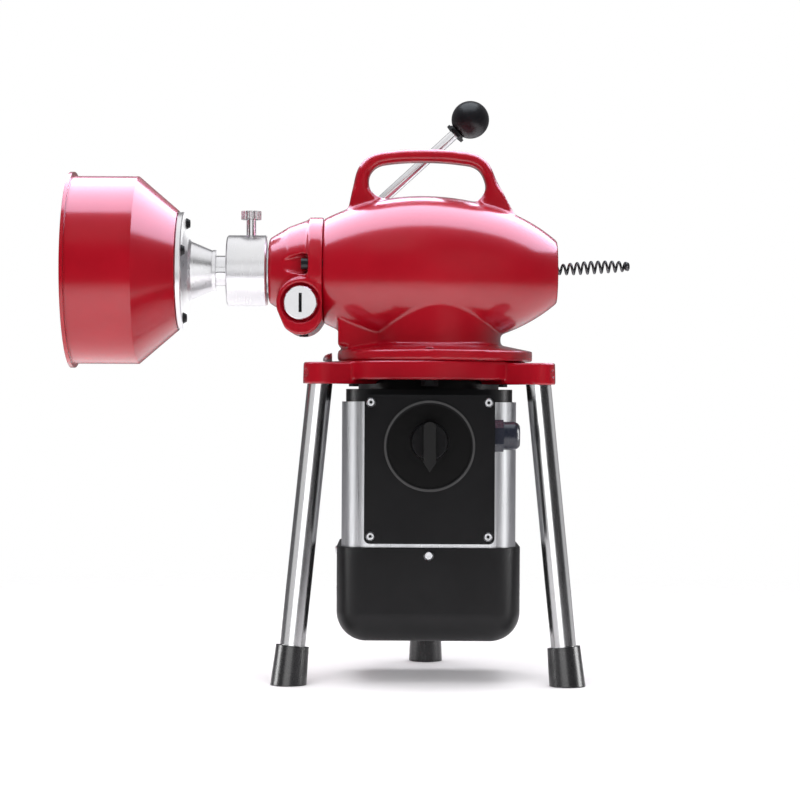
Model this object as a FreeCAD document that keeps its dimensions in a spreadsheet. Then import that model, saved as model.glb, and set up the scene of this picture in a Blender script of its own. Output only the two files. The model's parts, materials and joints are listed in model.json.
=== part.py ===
"""Sectional drain cleaning machine on a tripod, with a cable drum on its entry side.

The motor axis stands upright and crosses the spindle axis inside the barrel. Each length below is
measured in millimetres from the point where the motor axis meets the floor: X runs along the
spindle towards the cable exit, Y away from the switch side and Z up. motor_x and motor_y then move
everything together, so that the origin lies under the middle of the machine.
"""
import FreeCAD
import Part
import math
import operator
import os
from types import SimpleNamespace

import Sketcher

DIMENSIONS = {
    # The two main axes
    "motor_x": 70.6,
    "motor_y": -14.65,
    "axis_z": 364.0,
    # Barrel: a bulging shell round the spindle axis
    "barrel_left": -94.8,
    "barrel_left_radius": 46.7,
    "barrel_waist_radius": 68.0,
    "barrel_waist_x": -6.0,
    "barrel_taper_x": 66.6,
    "barrel_taper_radius": 55.8,
    "barrel_right": 114.8,
    "barrel_right_radius": 28.0,
    "barrel_wall": 5.0,
    "left_bulge": 193.0,
    "middle_bulge": 224.0,
    "right_bulge": 150.0,
    "exit_hole_radius": 14.0,
    # Pedestal, gear chamber and round flange under the barrel
    "pedestal_x": 4.5,
    "pedestal_radius": 60.0,
    "pedestal_wall": 8.0,
    "chamber_left": -81.0,
    "chamber_half_width": 34.0,
    "chamber_floor_z": 296.0,
    "chamber_height": 36.0,
    "chamber_wall": 6.0,
    "relief_height": 16.0,
    "flange_x": 5.5,
    "flange_radius": 87.5,
    "flange_rim": 9.5,
    "flange_crown": 5.0,
    # Carrying handle on top of the barrel, heights above the spindle axis
    "handle_width": 25.0,
    "handle_foot_left": -74.0,
    "handle_foot_right": 77.0,
    "handle_foot": 50.0,
    "handle_side_left": -67.0,
    "handle_side_right": 58.5,
    "handle_side": 85.0,
    "handle_shoulder_left": -43.0,
    "handle_shoulder_right": 36.0,
    "handle_shoulder": 107.0,
    "handle_corner": 27.0,
    "handle_crown": 261.0,
    "grip_left": -55.0,
    "grip_right": 53.0,
    "grip_floor": 60.0,
    "grip_side": 82.0,
    "grip_shoulder_left": -43.0,
    "grip_shoulder_right": 33.0,
    "grip_shoulder": 95.5,
    "grip_corner": 16.0,
    # Nose casting on the entry side, with its flange ring
    "nose_left": -143.8,
    "nose_left_radius": 30.0,
    "nose_shoulder": -126.0,
    "nose_shoulder_radius": 39.6,
    "nose_right": -107.6,
    "nose_right_radius": 46.4,
    "ring_radius": 48.2,
    "nose_bore_radius": 31.0,
    "mouth_radius": 20.0,
    "mouth_length": 8.0,
    "pocket_width": 18.0,
    "pocket_floor": 36.5,
    "pocket_length": 30.0,
    "nose_screw_circle": 42.0,
    # Lever pivot boss through the nose
    "pivot_x": -114.0,
    "pivot_drop": 30.0,
    "boss_radius": 21.5,
    "boss_front": 47.0,
    "boss_back": 43.0,
    "boss_foot_radius": 19.0,
    "disc_radius": 15.0,
    "pivot_slot_width": 2.6,
    "pivot_slot_length": 17.0,
    "pivot_slot_depth": 1.8,
    "disc_recess_radius": 17.5,
    "lock_screw_radius": 4.0,
    "lock_screw_depth": 34.0,
    "disc_thick": 4.0,
    "pivot_radius": 6.0,
    "fork_pocket_radius": 14.0,
    "fork_pocket_half": 25.5,
    "spring_bore_radius": 11.0,
    # Clutch lever
    "lever_angle": 42.6,
    "lever_offset": 26.0,
    "lever_y": 76.0,
    "rod_radius": 4.7,
    "rod_length": 220.0,
    "ball_radius": 17.5,
    "ball_reach": 231.0,
    "jam_nut_width": 17.0,
    "jam_nut_thick": 4.0,
    "hub_radius": 12.0,
    "hub_web_half": 11.0,
    "hub_web_depth": 20.0,
    "rod_seat": 4.0,
    "hub_back": 86.0,
    "hub_front": 46.0,
    # Fork, sliding sleeve and gripping jaws
    "fork_reach": 29.0,
    "fork_inside": 19.0,
    "fork_outside": 24.0,
    "fork_arm_half": 3.2,
    "pad_radius": 3.2,
    "pad_inside": 17.0,
    "sleeve_bore": 14.0,
    "sleeve_radius": 18.7,
    "sleeve_groove_radius": 16.2,
    "sleeve_left": -121.5,
    "groove_half": 4.0,
    "thrust_left": -108.3,
    "thrust_right": -105.3,
    "thrust_radius": 21.0,
    "jaw_left": -105.0,
    "jaw_length": 14.0,
    "jaw_bore": 13.8,
    "jaw_stroke": 9.6,
    "jaw_span": 96.0,
    "cone_angle": 15.0,
    "cone_mouth_radius": 22.8,
    "cone_clearance": 0.3,
    # Hollow spindle, its bearings and the crown gear
    "spindle_left": -98.6,
    "spindle_right": 106.0,
    "spindle_head_radius": 29.0,
    "spindle_radius": 22.5,
    "spindle_end_radius": 20.0,
    "spindle_bore": 17.0,
    "rear_bearing_left": -83.0,
    "rear_bearing_width": 16.0,
    "rear_bearing_radius": 37.5,
    "end_bearing_left": 79.0,
    "end_bearing_width": 15.0,
    "end_bearing_radius": 34.0,
    "bearing_shoulder": 3.5,
    "gear_module": 2.0,
    "pinion_teeth": 12.0,
    "gear_teeth": 48.0,
    "gear_face": 14.0,
    "tooth_thinning": 0.8,
    "gear_back": 12.0,
    "pinion_bore": 5.0,
    # Tripod plate and legs
    "plate_z": 266.0,
    "plate_thick": 17.0,
    "plate_radius": 87.5,
    "plate_hole_radius": 28.0,
    "arm_width": 30.0,
    "arm_top": 281.5,
    "arm_bottom": 262.5,
    "socket_radius": 14.5,
    "leg_radius": 11.0,
    "leg_wall": 1.5,
    "leg_top_z": 277.0,
    "leg_head_radius": 110.4,
    "foot_circle": 140.4,
    "foot_height": 34.0,
    "foot_top_radius": 14.4,
    "foot_bottom_radius": 15.9,
    "foot_floor": 8.0,
    # Motor
    "motor_half_width": 76.5,
    "motor_half_depth": 75.0,
    "motor_corner": 24.0,
    "motor_bottom": 120.0,
    "motor_top": 247.0,
    "stator_radius": 65.0,
    "stator_bore": 35.0,
    "stator_bottom": 150.0,
    "stator_height": 60.0,
    "winding_height": 14.0,
    "rotor_radius": 34.6,
    "shield_half_width": 73.0,
    "shoulder_z": 258.0,
    "spigot_radius": 63.0,
    "neck_radius": 27.5,
    "neck_top": 299.0,
    "shaft_radius": 10.0,
    "shaft_tail_radius": 8.5,
    "shaft_bottom": 60.0,
    "top_bearing_z": 284.0,
    "top_bearing_width": 14.0,
    "top_bearing_radius": 23.5,
    "low_bearing_z": 114.0,
    "low_bearing_width": 12.0,
    "low_bearing_radius": 20.0,
    "tie_bolt_place": 60.0,
    "tie_bolt_radius": 2.5,
    # Fan and its cover
    "cover_half_width": 80.5,
    "cover_half_depth": 78.5,
    "cover_bottom": 37.0,
    "cover_wall": 2.5,
    "cover_corner": 27.0,
    "shield_low_z": 108.0,
    "fan_z": 66.0,
    "fan_height": 24.0,
    "fan_radius": 58.0,
    "fan_hub_radius": 16.0,
    "fan_blade": 2.5,
    # Switch box on the front of the motor
    "box_half_width": 56.0,
    "box_bottom": 125.0,
    "box_top": 253.0,
    "box_front": 104.0,
    "box_wall": 3.0,
    "box_corner": 5.0,
    "lid_thick": 3.0,
    "bezel_radius": 39.0,
    "bezel_thick": 1.6,
    "bezel_z": 209.0,
    "knob_radius": 16.4,
    "knob_base": 6.0,
    "knob_reach": 127.0,
    "knob_z": 213.0,
    "pointer_width": 10.5,
    "pointer_up": 18.0,
    "pointer_down": 26.0,
    "lid_screw_half_width": 50.5,
    "lid_screw_half_height": 57.5,
    # Cable gland on the side of the switch box
    "gland_y": 90.0,
    "gland_z": 218.0,
    "gland_flats": 24.0,
    "gland_hex": 8.0,
    "gland_reach": 22.0,
    "gland_bore": 5.0,
    # Guide collar and its thumb screw
    "collar_left": -181.4,
    "collar_right": -145.4,
    "collar_radius": 32.0,
    "thumb_x": -160.2,
    "thumb_stem_radius": 4.25,
    "thumb_tip": 12.4,
    "thumb_head_low": 46.0,
    "thumb_head_high": 53.6,
    "thumb_head_radius": 9.0,
    "thumb_dish": 2.0,
    "knurl_radius": 1.2,
    "knurl_out": 0.6,
    # Drum
    "drum_left": -321.7,
    "drum_lip_radius": 88.0,
    "drum_lip": 3.2,
    "drum_radius": 84.3,
    "drum_wall": 2.0,
    "drum_cone_left": -260.6,
    "drum_cone_right": -225.3,
    "drum_floor_radius": 54.0,
    "hub_flange_radius": 52.6,
    "hub_flange_right": -219.8,
    "hub_right": -191.3,
    "hub_screw_circle": 46.0,
    "neck_tube_radius": 13.5,
    "neck_tube_bore": 7.0,
    "neck_tube_right": -80.0,
    # Cable
    "cable_radius": 5.0,
    "cable_left": -240.0,
    "auger_left": 110.0,
    "auger_radius": 5.2,
    "auger_pitch": 5.8,
    "auger_length": 69.6,
    "auger_wire_radius": 0.95,
    "coil_inner_radius": 56.0,
    "coil_outer_radius": 79.0,
    "coil_left": -306.0,
    "coil_right": -262.0,
    # Running clearance of a shaft in its hole
    "running_fit": 0.05,
}

OPERATIONS = {"+": operator.add, "-": operator.sub, "*": operator.mul, "/": operator.truediv}

UPRIGHT = FreeCAD.Rotation()
ALONG_X = FreeCAD.Rotation(FreeCAD.Vector(0, 1, 0), 90)
AGAINST_X = FreeCAD.Rotation(FreeCAD.Vector(0, 1, 0), -90)
ALONG_Y = FreeCAD.Rotation(FreeCAD.Vector(1, 0, 0), -90)
FACING_FRONT = FreeCAD.Rotation(FreeCAD.Vector(1, 0, 0), 90)
UPSIDE_DOWN = FreeCAD.Rotation(FreeCAD.Vector(1, 0, 0), 180)


class Size:
    """A length: its value, and the formula over the sheet's cells that the document binds."""

    def __init__(self, value, formula):
        self.value = float(value)
        self.formula = formula

    def __add__(self, other):
        return combine(self, "+", other)

    def __radd__(self, other):
        return combine(other, "+", self)

    def __sub__(self, other):
        return combine(self, "-", other)

    def __rsub__(self, other):
        return combine(other, "-", self)

    def __mul__(self, other):
        return combine(self, "*", other)

    def __rmul__(self, other):
        return combine(other, "*", self)

    def __truediv__(self, other):
        return combine(self, "/", other)

    def __neg__(self):
        return combine(0.0, "-", self)


def size_of(item):
    return item if isinstance(item, Size) else Size(item, f"({float(item)})")


def combine(left, sign, right):
    left = size_of(left)
    right = size_of(right)
    value = OPERATIONS[sign](left.value, right.value)
    return Size(value, f"({left.formula} {sign} {right.formula})")


def root(size):
    return Size(math.sqrt(size.value), f"sqrt({size.formula})")


def sine(angle):
    angle = size_of(angle)
    return Size(math.sin(math.radians(angle.value)), f"sin({angle.formula})")


def cosine(angle):
    angle = size_of(angle)
    return Size(math.cos(math.radians(angle.value)), f"cos({angle.formula})")


def tangent(angle):
    angle = size_of(angle)
    return Size(math.tan(math.radians(angle.value)), f"tan({angle.formula})")


doc = FreeCAD.newDocument("drain_machine")
sheet = doc.addObject("Spreadsheet::Sheet", "dims")
for row, (alias, value) in enumerate(DIMENSIONS.items(), start=1):
    sheet.set(f"A{row}", alias)
    sheet.set(f"B{row}", str(value))
    sheet.setAlias(f"B{row}", alias)
doc.recompute()
D = SimpleNamespace(**{alias: Size(value, f"dims.{alias}") for alias, value in DIMENSIONS.items()})


# ---------------------------------------------------------------- building blocks

def bind(item, **sizes):
    """Set each property to its size, through the sheet."""
    for name, size in sizes.items():
        size = size_of(size)
        setattr(item, name, size.value)
        item.setExpression(name, size.formula)


def place(item, x=0.0, y=0.0, z=0.0, turn=UPRIGHT):
    """Stand an object at a point measured from the motor axis at floor level."""
    spots = (D.motor_x + x, D.motor_y + y, size_of(z))
    item.Placement = FreeCAD.Placement(FreeCAD.Vector(*[spot.value for spot in spots]), turn)
    for axis, spot in zip("xyz", spots):
        item.setExpression(f".Placement.Base.{axis}", spot.formula)
    return item


def cylinder(name, radius, height, x=0.0, y=0.0, z=0.0, turn=UPRIGHT):
    item = doc.addObject("Part::Cylinder", name)
    bind(item, Radius=radius, Height=height)
    return place(item, x, y, z, turn)


def cone(name, low_radius, high_radius, height, x=0.0, y=0.0, z=0.0, turn=UPRIGHT):
    item = doc.addObject("Part::Cone", name)
    bind(item, Radius1=low_radius, Radius2=high_radius, Height=height)
    return place(item, x, y, z, turn)


def block(name, width, depth, height, x=0.0, y=0.0, z=0.0, turn=UPRIGHT):
    """A box from its lowest corner."""
    item = doc.addObject("Part::Box", name)
    bind(item, Length=width, Width=depth, Height=height)
    return place(item, x, y, z, turn)


def ball(name, radius, x, y, z):
    item = doc.addObject("Part::Sphere", name)
    bind(item, Radius=radius)
    return place(item, x, y, z)


def hexagon(name, flats, height, x=0.0, y=0.0, z=0.0, turn=UPRIGHT):
    item = doc.addObject("Part::Prism", name)
    item.Polygon = 6
    bind(item, Circumradius=size_of(flats) / math.sqrt(3.0), Height=height)
    return place(item, x, y, z, turn)


def fuse(name, *pieces):
    item = doc.addObject("Part::MultiFuse", name)
    item.Shapes = list(pieces)
    return item


def cut(name, base, *tools):
    item = doc.addObject("Part::Cut", name)
    item.Base = base
    item.Tool = tools[0] if len(tools) == 1 else fuse(name + "_tools", *tools)
    return item


def common(name, first, second):
    item = doc.addObject("Part::Common", name)
    item.Base = first
    item.Tool = second
    return item


def group(name, pieces):
    item = doc.addObject("Part::Compound", name)
    item.Links = list(pieces)
    return item


def tube(name, outer, inner, height, x=0.0, y=0.0, z=0.0, turn=UPRIGHT):
    wall = cylinder(name + "_outside", outer, height, x, y, z, turn)
    hole = cylinder(name + "_inside", inner, height, x, y, z, turn)
    return cut(name, wall, hole)


def origin_plane(body, role):
    return next(item for item in body.Origin.OriginFeatures if item.Role == role)


def draw_outline(body, plane, corners):
    """Closed sketch through corners (u, v); a third number is the radius of an arc that ends there."""
    sketch = body.newObject("Sketcher::SketchObject", body.Name + "_outline")
    sketch.AttachmentSupport = (origin_plane(body, plane), [""])
    sketch.MapMode = "FlatFace"
    spots = [(size_of(corner[0]), size_of(corner[1])) for corner in corners]
    points = [FreeCAD.Vector(u.value, v.value, 0) for u, v in spots]
    for index, corner in enumerate(corners):
        add_stretch(sketch, points[index - 1], points[index], corner[2:])
    ends = [end_of(sketch, index, points[index]) for index in range(len(corners))]
    for index, (u, v) in enumerate(spots):
        following = (index + 1) % len(spots)
        start = 3 - ends[following] if len(corners[following]) == 3 else 1
        sketch.addConstraint(Sketcher.Constraint("Coincident", index, ends[index], following, start))
        for kind, spot in (("DistanceX", u), ("DistanceY", v)):
            pin_corner(sketch, kind, index, ends[index], spot)
    return sketch


def add_stretch(sketch, start, end, bulge):
    """One side of an outline: a line, or an arc whose radius is bulge (negative bends the other way)."""
    if not bulge:
        sketch.addGeometry(Part.LineSegment(start, end))
        return
    radius = size_of(bulge[0])
    chord = end - start
    rise = math.sqrt(radius.value ** 2 - (chord.Length / 2) ** 2)
    side = FreeCAD.Vector(-chord.y, chord.x, 0).normalize() * math.copysign(1.0, radius.value)
    centre = (start + end) / 2 + side * rise
    middle = centre - side * abs(radius.value)
    number = sketch.addGeometry(Part.Arc(start, middle, end))
    constraint = sketch.addConstraint(Sketcher.Constraint("Radius", number, abs(radius.value)))
    formula = radius.formula if radius.value > 0 else f"(0 - {radius.formula})"
    sketch.setExpression(f"Constraints[{constraint}]", formula)


def end_of(sketch, index, point):
    """Which end of a side lies at its own corner: 1 is the start, 2 the end."""
    side = sketch.Geometry[index]
    return 1 if side.StartPoint.distanceToPoint(point) < side.EndPoint.distanceToPoint(point) else 2


def pin_corner(sketch, kind, index, end, spot):
    number = sketch.addConstraint(Sketcher.Constraint(kind, -1, 1, index, end, spot.value))
    sketch.setExpression(f"Constraints[{number}]", spot.formula)


def turned(name, corners, x=0.0, y=0.0, z=0.0, turn=ALONG_X):
    """Solid of revolution about its own Z, through corners (distance along the axis, radius)."""
    body = doc.addObject("PartDesign::Body", name)
    outline = draw_outline(body, "XZ_Plane", [(c[1], c[0]) + tuple(c[2:]) for c in corners])
    revolution = body.newObject("PartDesign::Revolution", name + "_turning")
    revolution.Profile = outline
    revolution.ReferenceAxis = (outline, ["V_Axis"])
    revolution.Angle = 360.0
    return place(body, x, y, z, turn)


def padded(name, corners, thickness, x=0.0, y=0.0, z=0.0, turn=UPRIGHT):
    """Flat outline (u, v) on its own XY plane, made thickness deep along its own Z."""
    body = doc.addObject("PartDesign::Body", name)
    pad = body.newObject("PartDesign::Pad", name + "_pad")
    pad.Profile = draw_outline(body, "XY_Plane", corners)
    bind(pad, Length=thickness)
    return place(body, x, y, z, turn)


def rounded_rectangle(half_width, half_depth, corner):
    """Corners of a centred rectangle with its four corners rounded, counter-clockwise."""
    left, right = -half_width, half_width
    near, far = -half_depth, half_depth
    return [(right - corner, near), (right, near + corner, corner),
            (right, far - corner), (right - corner, far, corner), (left + corner, far),
            (left, far - corner, corner), (left, near + corner), (left + corner, near, corner)]


def outwards(angle):
    """Own Z along the spindle, own Y pointing out at an angle from the far side over the top."""
    return FreeCAD.Rotation(FreeCAD.Vector(1, 0, 0), angle) * ALONG_X


def ring_spot(radius, angle):
    """Place (y, z) on a circle round the spindle axis, by the same angle."""
    return radius * cosine(angle), D.axis_z + radius * sine(angle)


def spin(angle):
    """A turn about the upright axis."""
    return FreeCAD.Rotation(FreeCAD.Vector(0, 0, 1), angle)


# ---------------------------------------------------------------- castings

def barrel_shape():
    """The bulging outside of the barrel."""
    return turned("barrel", [
        (D.barrel_left, 0), (D.barrel_left, D.barrel_left_radius),
        (D.barrel_waist_x, D.barrel_waist_radius, D.left_bulge),
        (D.barrel_taper_x, D.barrel_taper_radius, D.middle_bulge),
        (D.barrel_right, D.barrel_right_radius, D.right_bulge), (D.barrel_right, 0)], z=D.axis_z)


def barrel_hollow():
    """Bearing seats at both ends of the barrel and the gear chamber between them."""
    seat_end = D.rear_bearing_left + D.rear_bearing_width
    end_seat = D.end_bearing_left + D.end_bearing_width
    shoulder = D.rear_bearing_radius - D.bearing_shoulder
    end_shoulder = D.end_bearing_radius - D.bearing_shoulder
    chamber = seat_end + 4
    chamber_radius = D.barrel_left_radius + 6
    return turned("barrel_hollow", [
        (D.barrel_left, 0), (D.barrel_left, D.rear_bearing_radius), (seat_end, D.rear_bearing_radius),
        (seat_end, shoulder), (chamber, shoulder), (chamber, chamber_radius),
        (D.barrel_waist_x, D.barrel_waist_radius - D.barrel_wall, D.left_bulge),
        (D.barrel_taper_x, D.barrel_taper_radius - D.barrel_wall - 1, D.middle_bulge),
        (D.end_bearing_left, D.end_bearing_radius + 4), (D.end_bearing_left, D.end_bearing_radius),
        (end_seat, D.end_bearing_radius), (end_seat, end_shoulder), (end_seat + 2, end_shoulder),
        (D.barrel_right - D.barrel_wall, D.barrel_right_radius - D.barrel_wall),
        (D.barrel_right - D.barrel_wall, D.exit_hole_radius), (D.barrel_right, D.exit_hole_radius),
        (D.barrel_right, 0)], z=D.axis_z)


def handle_shape():
    """The arched handle, cut through by the finger opening."""
    outside = padded("handle_outside", [
        (D.handle_foot_left, D.handle_foot), (D.handle_foot_right, D.handle_foot),
        (D.handle_side_right, D.handle_side),
        (D.handle_shoulder_right, D.handle_shoulder, D.handle_corner),
        (D.handle_shoulder_left, D.handle_shoulder, D.handle_crown),
        (D.handle_side_left, D.handle_side, D.handle_corner)],
        D.handle_width, y=D.handle_width / 2, z=D.axis_z, turn=FACING_FRONT)
    opening = padded("handle_opening", [
        (D.grip_left + 8, D.grip_floor), (D.grip_right - 8, D.grip_floor),
        (D.grip_right, D.grip_floor + 12, D.grip_corner), (D.grip_right - 4, D.grip_side),
        (D.grip_shoulder_right, D.grip_shoulder, D.grip_corner),
        (D.grip_shoulder_left, D.grip_shoulder, D.handle_crown),
        (D.grip_left, D.grip_side, D.grip_corner), (D.grip_left, D.grip_floor + 12)],
        D.handle_width + 2, y=D.handle_width / 2 + 1, z=D.axis_z, turn=FACING_FRONT)
    return cut("handle", outside, opening)


def pedestal_shape():
    """Round column under the barrel, the squarer chamber on its left and the round flange."""
    flange_z = D.plate_z + D.plate_thick
    column = cylinder("pedestal", D.pedestal_radius, D.axis_z - flange_z, D.pedestal_x, 0, flange_z)
    chamber = block("chamber", D.pedestal_x - D.chamber_left, D.chamber_half_width * 2, D.chamber_height,
                    D.chamber_left, -D.chamber_half_width, D.chamber_floor_z)
    rim = cylinder("flange_rim", D.flange_radius, D.flange_rim, D.flange_x, 0, flange_z)
    crown = cone("flange_crown", D.flange_radius - 1, D.pedestal_radius + 2, D.flange_crown,
                 D.flange_x, 0, flange_z + D.flange_rim)
    return [column, chamber, rim, crown]


def pedestal_hollow():
    """The column is open down to the plate; the left chamber is relieved inside."""
    flange_z = D.plate_z + D.plate_thick
    well = cylinder("pedestal_well", D.pedestal_radius - D.pedestal_wall, D.axis_z - flange_z,
                    D.pedestal_x, 0, flange_z)
    relief = block("chamber_relief", D.pedestal_x - D.chamber_left - D.chamber_wall,
                   (D.chamber_half_width - D.chamber_wall) * 2, D.relief_height,
                   D.chamber_left + D.chamber_wall, D.chamber_wall - D.chamber_half_width,
                   D.chamber_floor_z + D.chamber_wall - 1)
    return [well, relief]


def body_casting():
    solid = fuse("body_solid", barrel_shape(), handle_shape(), *pedestal_shape())
    screw_holes = [cylinder(f"body_screw_hole_{n}", 3.0, 14.0, D.barrel_left, y, z, ALONG_X)
                   for n, (y, z) in enumerate(nose_screw_spots())]
    bolt_holes = [cylinder(f"body_bolt_hole_{n}", 4.0, 12.0, x, y, D.plate_z + D.plate_thick)
                  for n, (x, y) in enumerate(plate_bolt_spots())]
    return cut("body_casting", solid, barrel_hollow(), *pedestal_hollow(), *screw_holes, *bolt_holes)


NOSE_SCREW_ANGLES = (174, 66, 6)


def nose_screw_spots():
    """Three screws round the ring: near side just above the axis, top and far side."""
    return [ring_spot(D.nose_screw_circle, angle) for angle in NOSE_SCREW_ANGLES]


def nose_shape():
    solid = turned("nose_cone", [
        (D.nose_left, 0), (D.nose_left, D.nose_left_radius - 2), (D.nose_left + 2, D.nose_left_radius),
        (D.nose_shoulder, D.nose_shoulder_radius), (D.nose_right, D.nose_right_radius),
        (D.nose_right, D.ring_radius),
        (D.barrel_left, D.ring_radius), (D.barrel_left, 0)], z=D.axis_z)
    side = D.barrel_left - D.pivot_x
    rise = root(D.boss_radius * D.boss_radius - side * side)
    boss = padded("pivot_boss", [
        (side, 6 - D.boss_radius), (side, rise), (-side, rise, D.boss_radius),
        (-side, -rise, D.boss_radius), (5 - side, -D.boss_radius),
        (side - 4, -D.boss_radius, D.boss_foot_radius)],
        D.boss_front + D.boss_back, D.pivot_x, D.boss_back, D.axis_z - D.pivot_drop, FACING_FRONT)
    return fuse("nose_solid", solid, boss)


def nose_hollow():
    """Mouth, clutch bore, fork pocket, pivot bore with its disc recess and the spring pocket."""
    pivot_z = D.axis_z - D.pivot_drop
    mouth = cylinder("nose_mouth", D.mouth_radius, D.mouth_length, D.nose_left, 0, D.axis_z, ALONG_X)
    throat = cone("nose_throat", 22.0, D.nose_bore_radius, 12.0, D.nose_left + D.mouth_length, 0,
                  D.axis_z, ALONG_X)
    bore_left = D.nose_left + D.mouth_length + 12
    bore = cylinder("nose_bore", D.nose_bore_radius, D.barrel_left - bore_left, bore_left, 0,
                    D.axis_z, ALONG_X)
    pocket = cylinder("fork_pocket", D.fork_pocket_radius, D.fork_pocket_half * 2,
                      D.pivot_x, -D.fork_pocket_half, pivot_z, ALONG_Y)
    slot = block("fork_slot", 27.0, D.fork_pocket_half * 2, 40.0,
                 D.pivot_x - 11, -D.fork_pocket_half, pivot_z)
    pivot = cylinder("pivot_bore", D.pivot_radius + D.running_fit, D.boss_front + D.boss_back,
                     D.pivot_x, -D.boss_front, pivot_z, ALONG_Y)
    recess = cylinder("disc_recess", D.disc_recess_radius, D.disc_thick + 1,
                      D.pivot_x, -D.boss_front, pivot_z, ALONG_Y)
    spring = cylinder("spring_pocket", D.spring_bore_radius, 14.0,
                      D.pivot_x, D.fork_pocket_half, pivot_z, ALONG_Y)
    screw = cylinder("set_screw_hole", D.lock_screw_radius, D.lock_screw_depth, D.pivot_x + 3,
                     -D.boss_front + 12, pivot_z - D.lock_screw_depth)
    return [mouth, throat, bore, pocket, slot, pivot, recess, spring, screw]


def nose_casting():
    """Nose with a wedge-shaped pocket over each screw and the holes for the screws."""
    pockets = []
    for n, angle in enumerate(NOSE_SCREW_ANGLES):
        left, half = D.nose_right - D.pocket_length, D.pocket_width / 2
        outline = [(left, -(half / 3)), (D.nose_right - 7, -half), (D.nose_right, -half),
                   (D.nose_right, half), (D.nose_right - 7, half), (left, half / 3)]
        y, z = ring_spot(D.pocket_floor, angle)
        pockets.append(padded(f"wedge_pocket_{n}", outline, 20.0, 0, y, z,
                              FreeCAD.Rotation(FreeCAD.Vector(1, 0, 0), angle - 90)))
    holes = [cylinder(f"nose_screw_hole_{n}", 3.0, D.barrel_left - D.nose_right, D.nose_right, y, z, ALONG_X)
             for n, (y, z) in enumerate(nose_screw_spots())]
    return cut("nose_casting", nose_shape(), *nose_hollow(), *pockets, *holes)


def nose_screws():
    """Cap screws: head on the ring's face, shank into the barrel's end wall."""
    screws = []
    for n, (y, z) in enumerate(nose_screw_spots()):
        head = cylinder(f"nose_screw_head_{n}", 5.0, 6.0, D.nose_right - 6, y, z, ALONG_X)
        socket = hexagon(f"nose_screw_socket_{n}", 5.0, 3.0, D.nose_right - 6, y, z, ALONG_X)
        shank = cylinder(f"nose_screw_shank_{n}", 3.0, 24.0, D.nose_right, y, z, ALONG_X)
        screws.append(cut(f"nose_screw_{n}", fuse(f"nose_screw_blank_{n}", head, shank), socket))
    return group("nose_screws", screws)


# ---------------------------------------------------------------- tripod

LEG_ANGLES = {"left": -150, "right": -30, "rear": 90}
BOLT_ANGLES = (30, 150, 270)


def plate_bolt_spots():
    """Three bolts between plate and flange, midway between the arms."""
    return [(75 * cosine(angle), 75 * sine(angle)) for angle in BOLT_ANGLES]


def leg_tilt():
    """Lean of a leg from upright, in degrees."""
    return math.degrees(math.atan2((D.foot_circle - D.leg_head_radius).value, D.plate_z.value))


def leg_turn(angle):
    return spin(angle) * FreeCAD.Rotation(FreeCAD.Vector(0, 1, 0), -leg_tilt())


def along_leg(name, radius, start, length, angle):
    """A cylinder on the axis of a leg, from start above the floor, measured along the leg."""
    slope = (D.foot_circle - D.leg_head_radius) / D.plate_z
    reach = D.foot_circle - start * slope
    return cylinder(name, radius, length, reach * cosine(angle), reach * sine(angle), start,
                    leg_turn(angle))


def tripod_plate():
    """Round plate with three arms; each arm ends in a socket that leans with its leg."""
    disc = cylinder("plate_disc", D.plate_radius, D.plate_thick, 0, 0, D.plate_z)
    pieces = [disc]
    cuts = [cylinder("plate_hole", D.plate_hole_radius, D.plate_thick, 0, 0, D.plate_z)]
    height = D.arm_top - D.arm_bottom
    slope = (D.foot_circle - D.leg_head_radius) / D.plate_z
    for side, angle in LEG_ANGLES.items():
        arm = padded(f"arm_{side}", [(50, -(D.arm_width / 2)), (D.leg_head_radius, -(D.arm_width / 2)),
                                     (D.leg_head_radius, D.arm_width / 2), (50, D.arm_width / 2)],
                     height, 0, 0, D.arm_bottom, spin(angle))
        reach = D.foot_circle - D.arm_bottom * slope
        end = cone(f"arm_end_{side}", D.socket_radius + 0.5, D.socket_radius, height,
                   reach * cosine(angle), reach * sine(angle), D.arm_bottom)
        pieces += [arm, end]
        cuts.append(along_leg(f"socket_{side}", D.leg_radius, D.arm_bottom - 4,
                              D.leg_top_z - D.arm_bottom + 4, angle))
        cuts.append(set_screw_space(f"set_screw_space_{side}", angle))
    spigot = cylinder("spigot_space", D.spigot_radius, D.plate_z - D.arm_bottom, 0, 0, D.arm_bottom)
    bolts = [cylinder(f"plate_bolt_hole_{n}", 4.0, D.plate_thick, x, y, D.plate_z)
             for n, (x, y) in enumerate(plate_bolt_spots())]
    motor = [cylinder(f"motor_screw_hole_{n}", 3.0, D.plate_thick, x, y, D.plate_z)
             for n, (x, y) in enumerate(motor_screw_spots())]
    lock = cylinder("lock_screw_hole", 3.0, 12.0, D.flange_x - D.flange_radius - 6, 0,
                    D.plate_z + D.plate_thick - 12)
    lug = cylinder("lock_lug", 7.0, D.plate_thick, D.flange_x - D.flange_radius - 6, 0, D.plate_z)
    return cut("tripod_plate", fuse("plate_solid", *pieces, lug), *cuts, spigot, *bolts, *motor, lock)


def set_screw_space(name, angle):
    """Radial screw hole from the outer end of an arm into its socket."""
    turn = spin(angle) * ALONG_X
    middle = (D.arm_top + D.arm_bottom) / 2
    return cylinder(name, 3.0, 14.0, (D.leg_head_radius + D.leg_radius + 0.6) * cosine(angle),
                    (D.leg_head_radius + D.leg_radius + 0.6) * sine(angle), middle, turn)


def leg_set_screws():
    screws = []
    for side, angle in LEG_ANGLES.items():
        turn = spin(angle) * ALONG_X
        start = D.leg_head_radius + D.leg_radius + 0.6
        middle = (D.arm_top + D.arm_bottom) / 2
        plug = cylinder(f"set_screw_plug_{side}", 3.0, 3.0, start * cosine(angle), start * sine(angle),
                        middle, turn)
        screws.append(plug)
    return group("leg_set_screws", screws)


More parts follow.
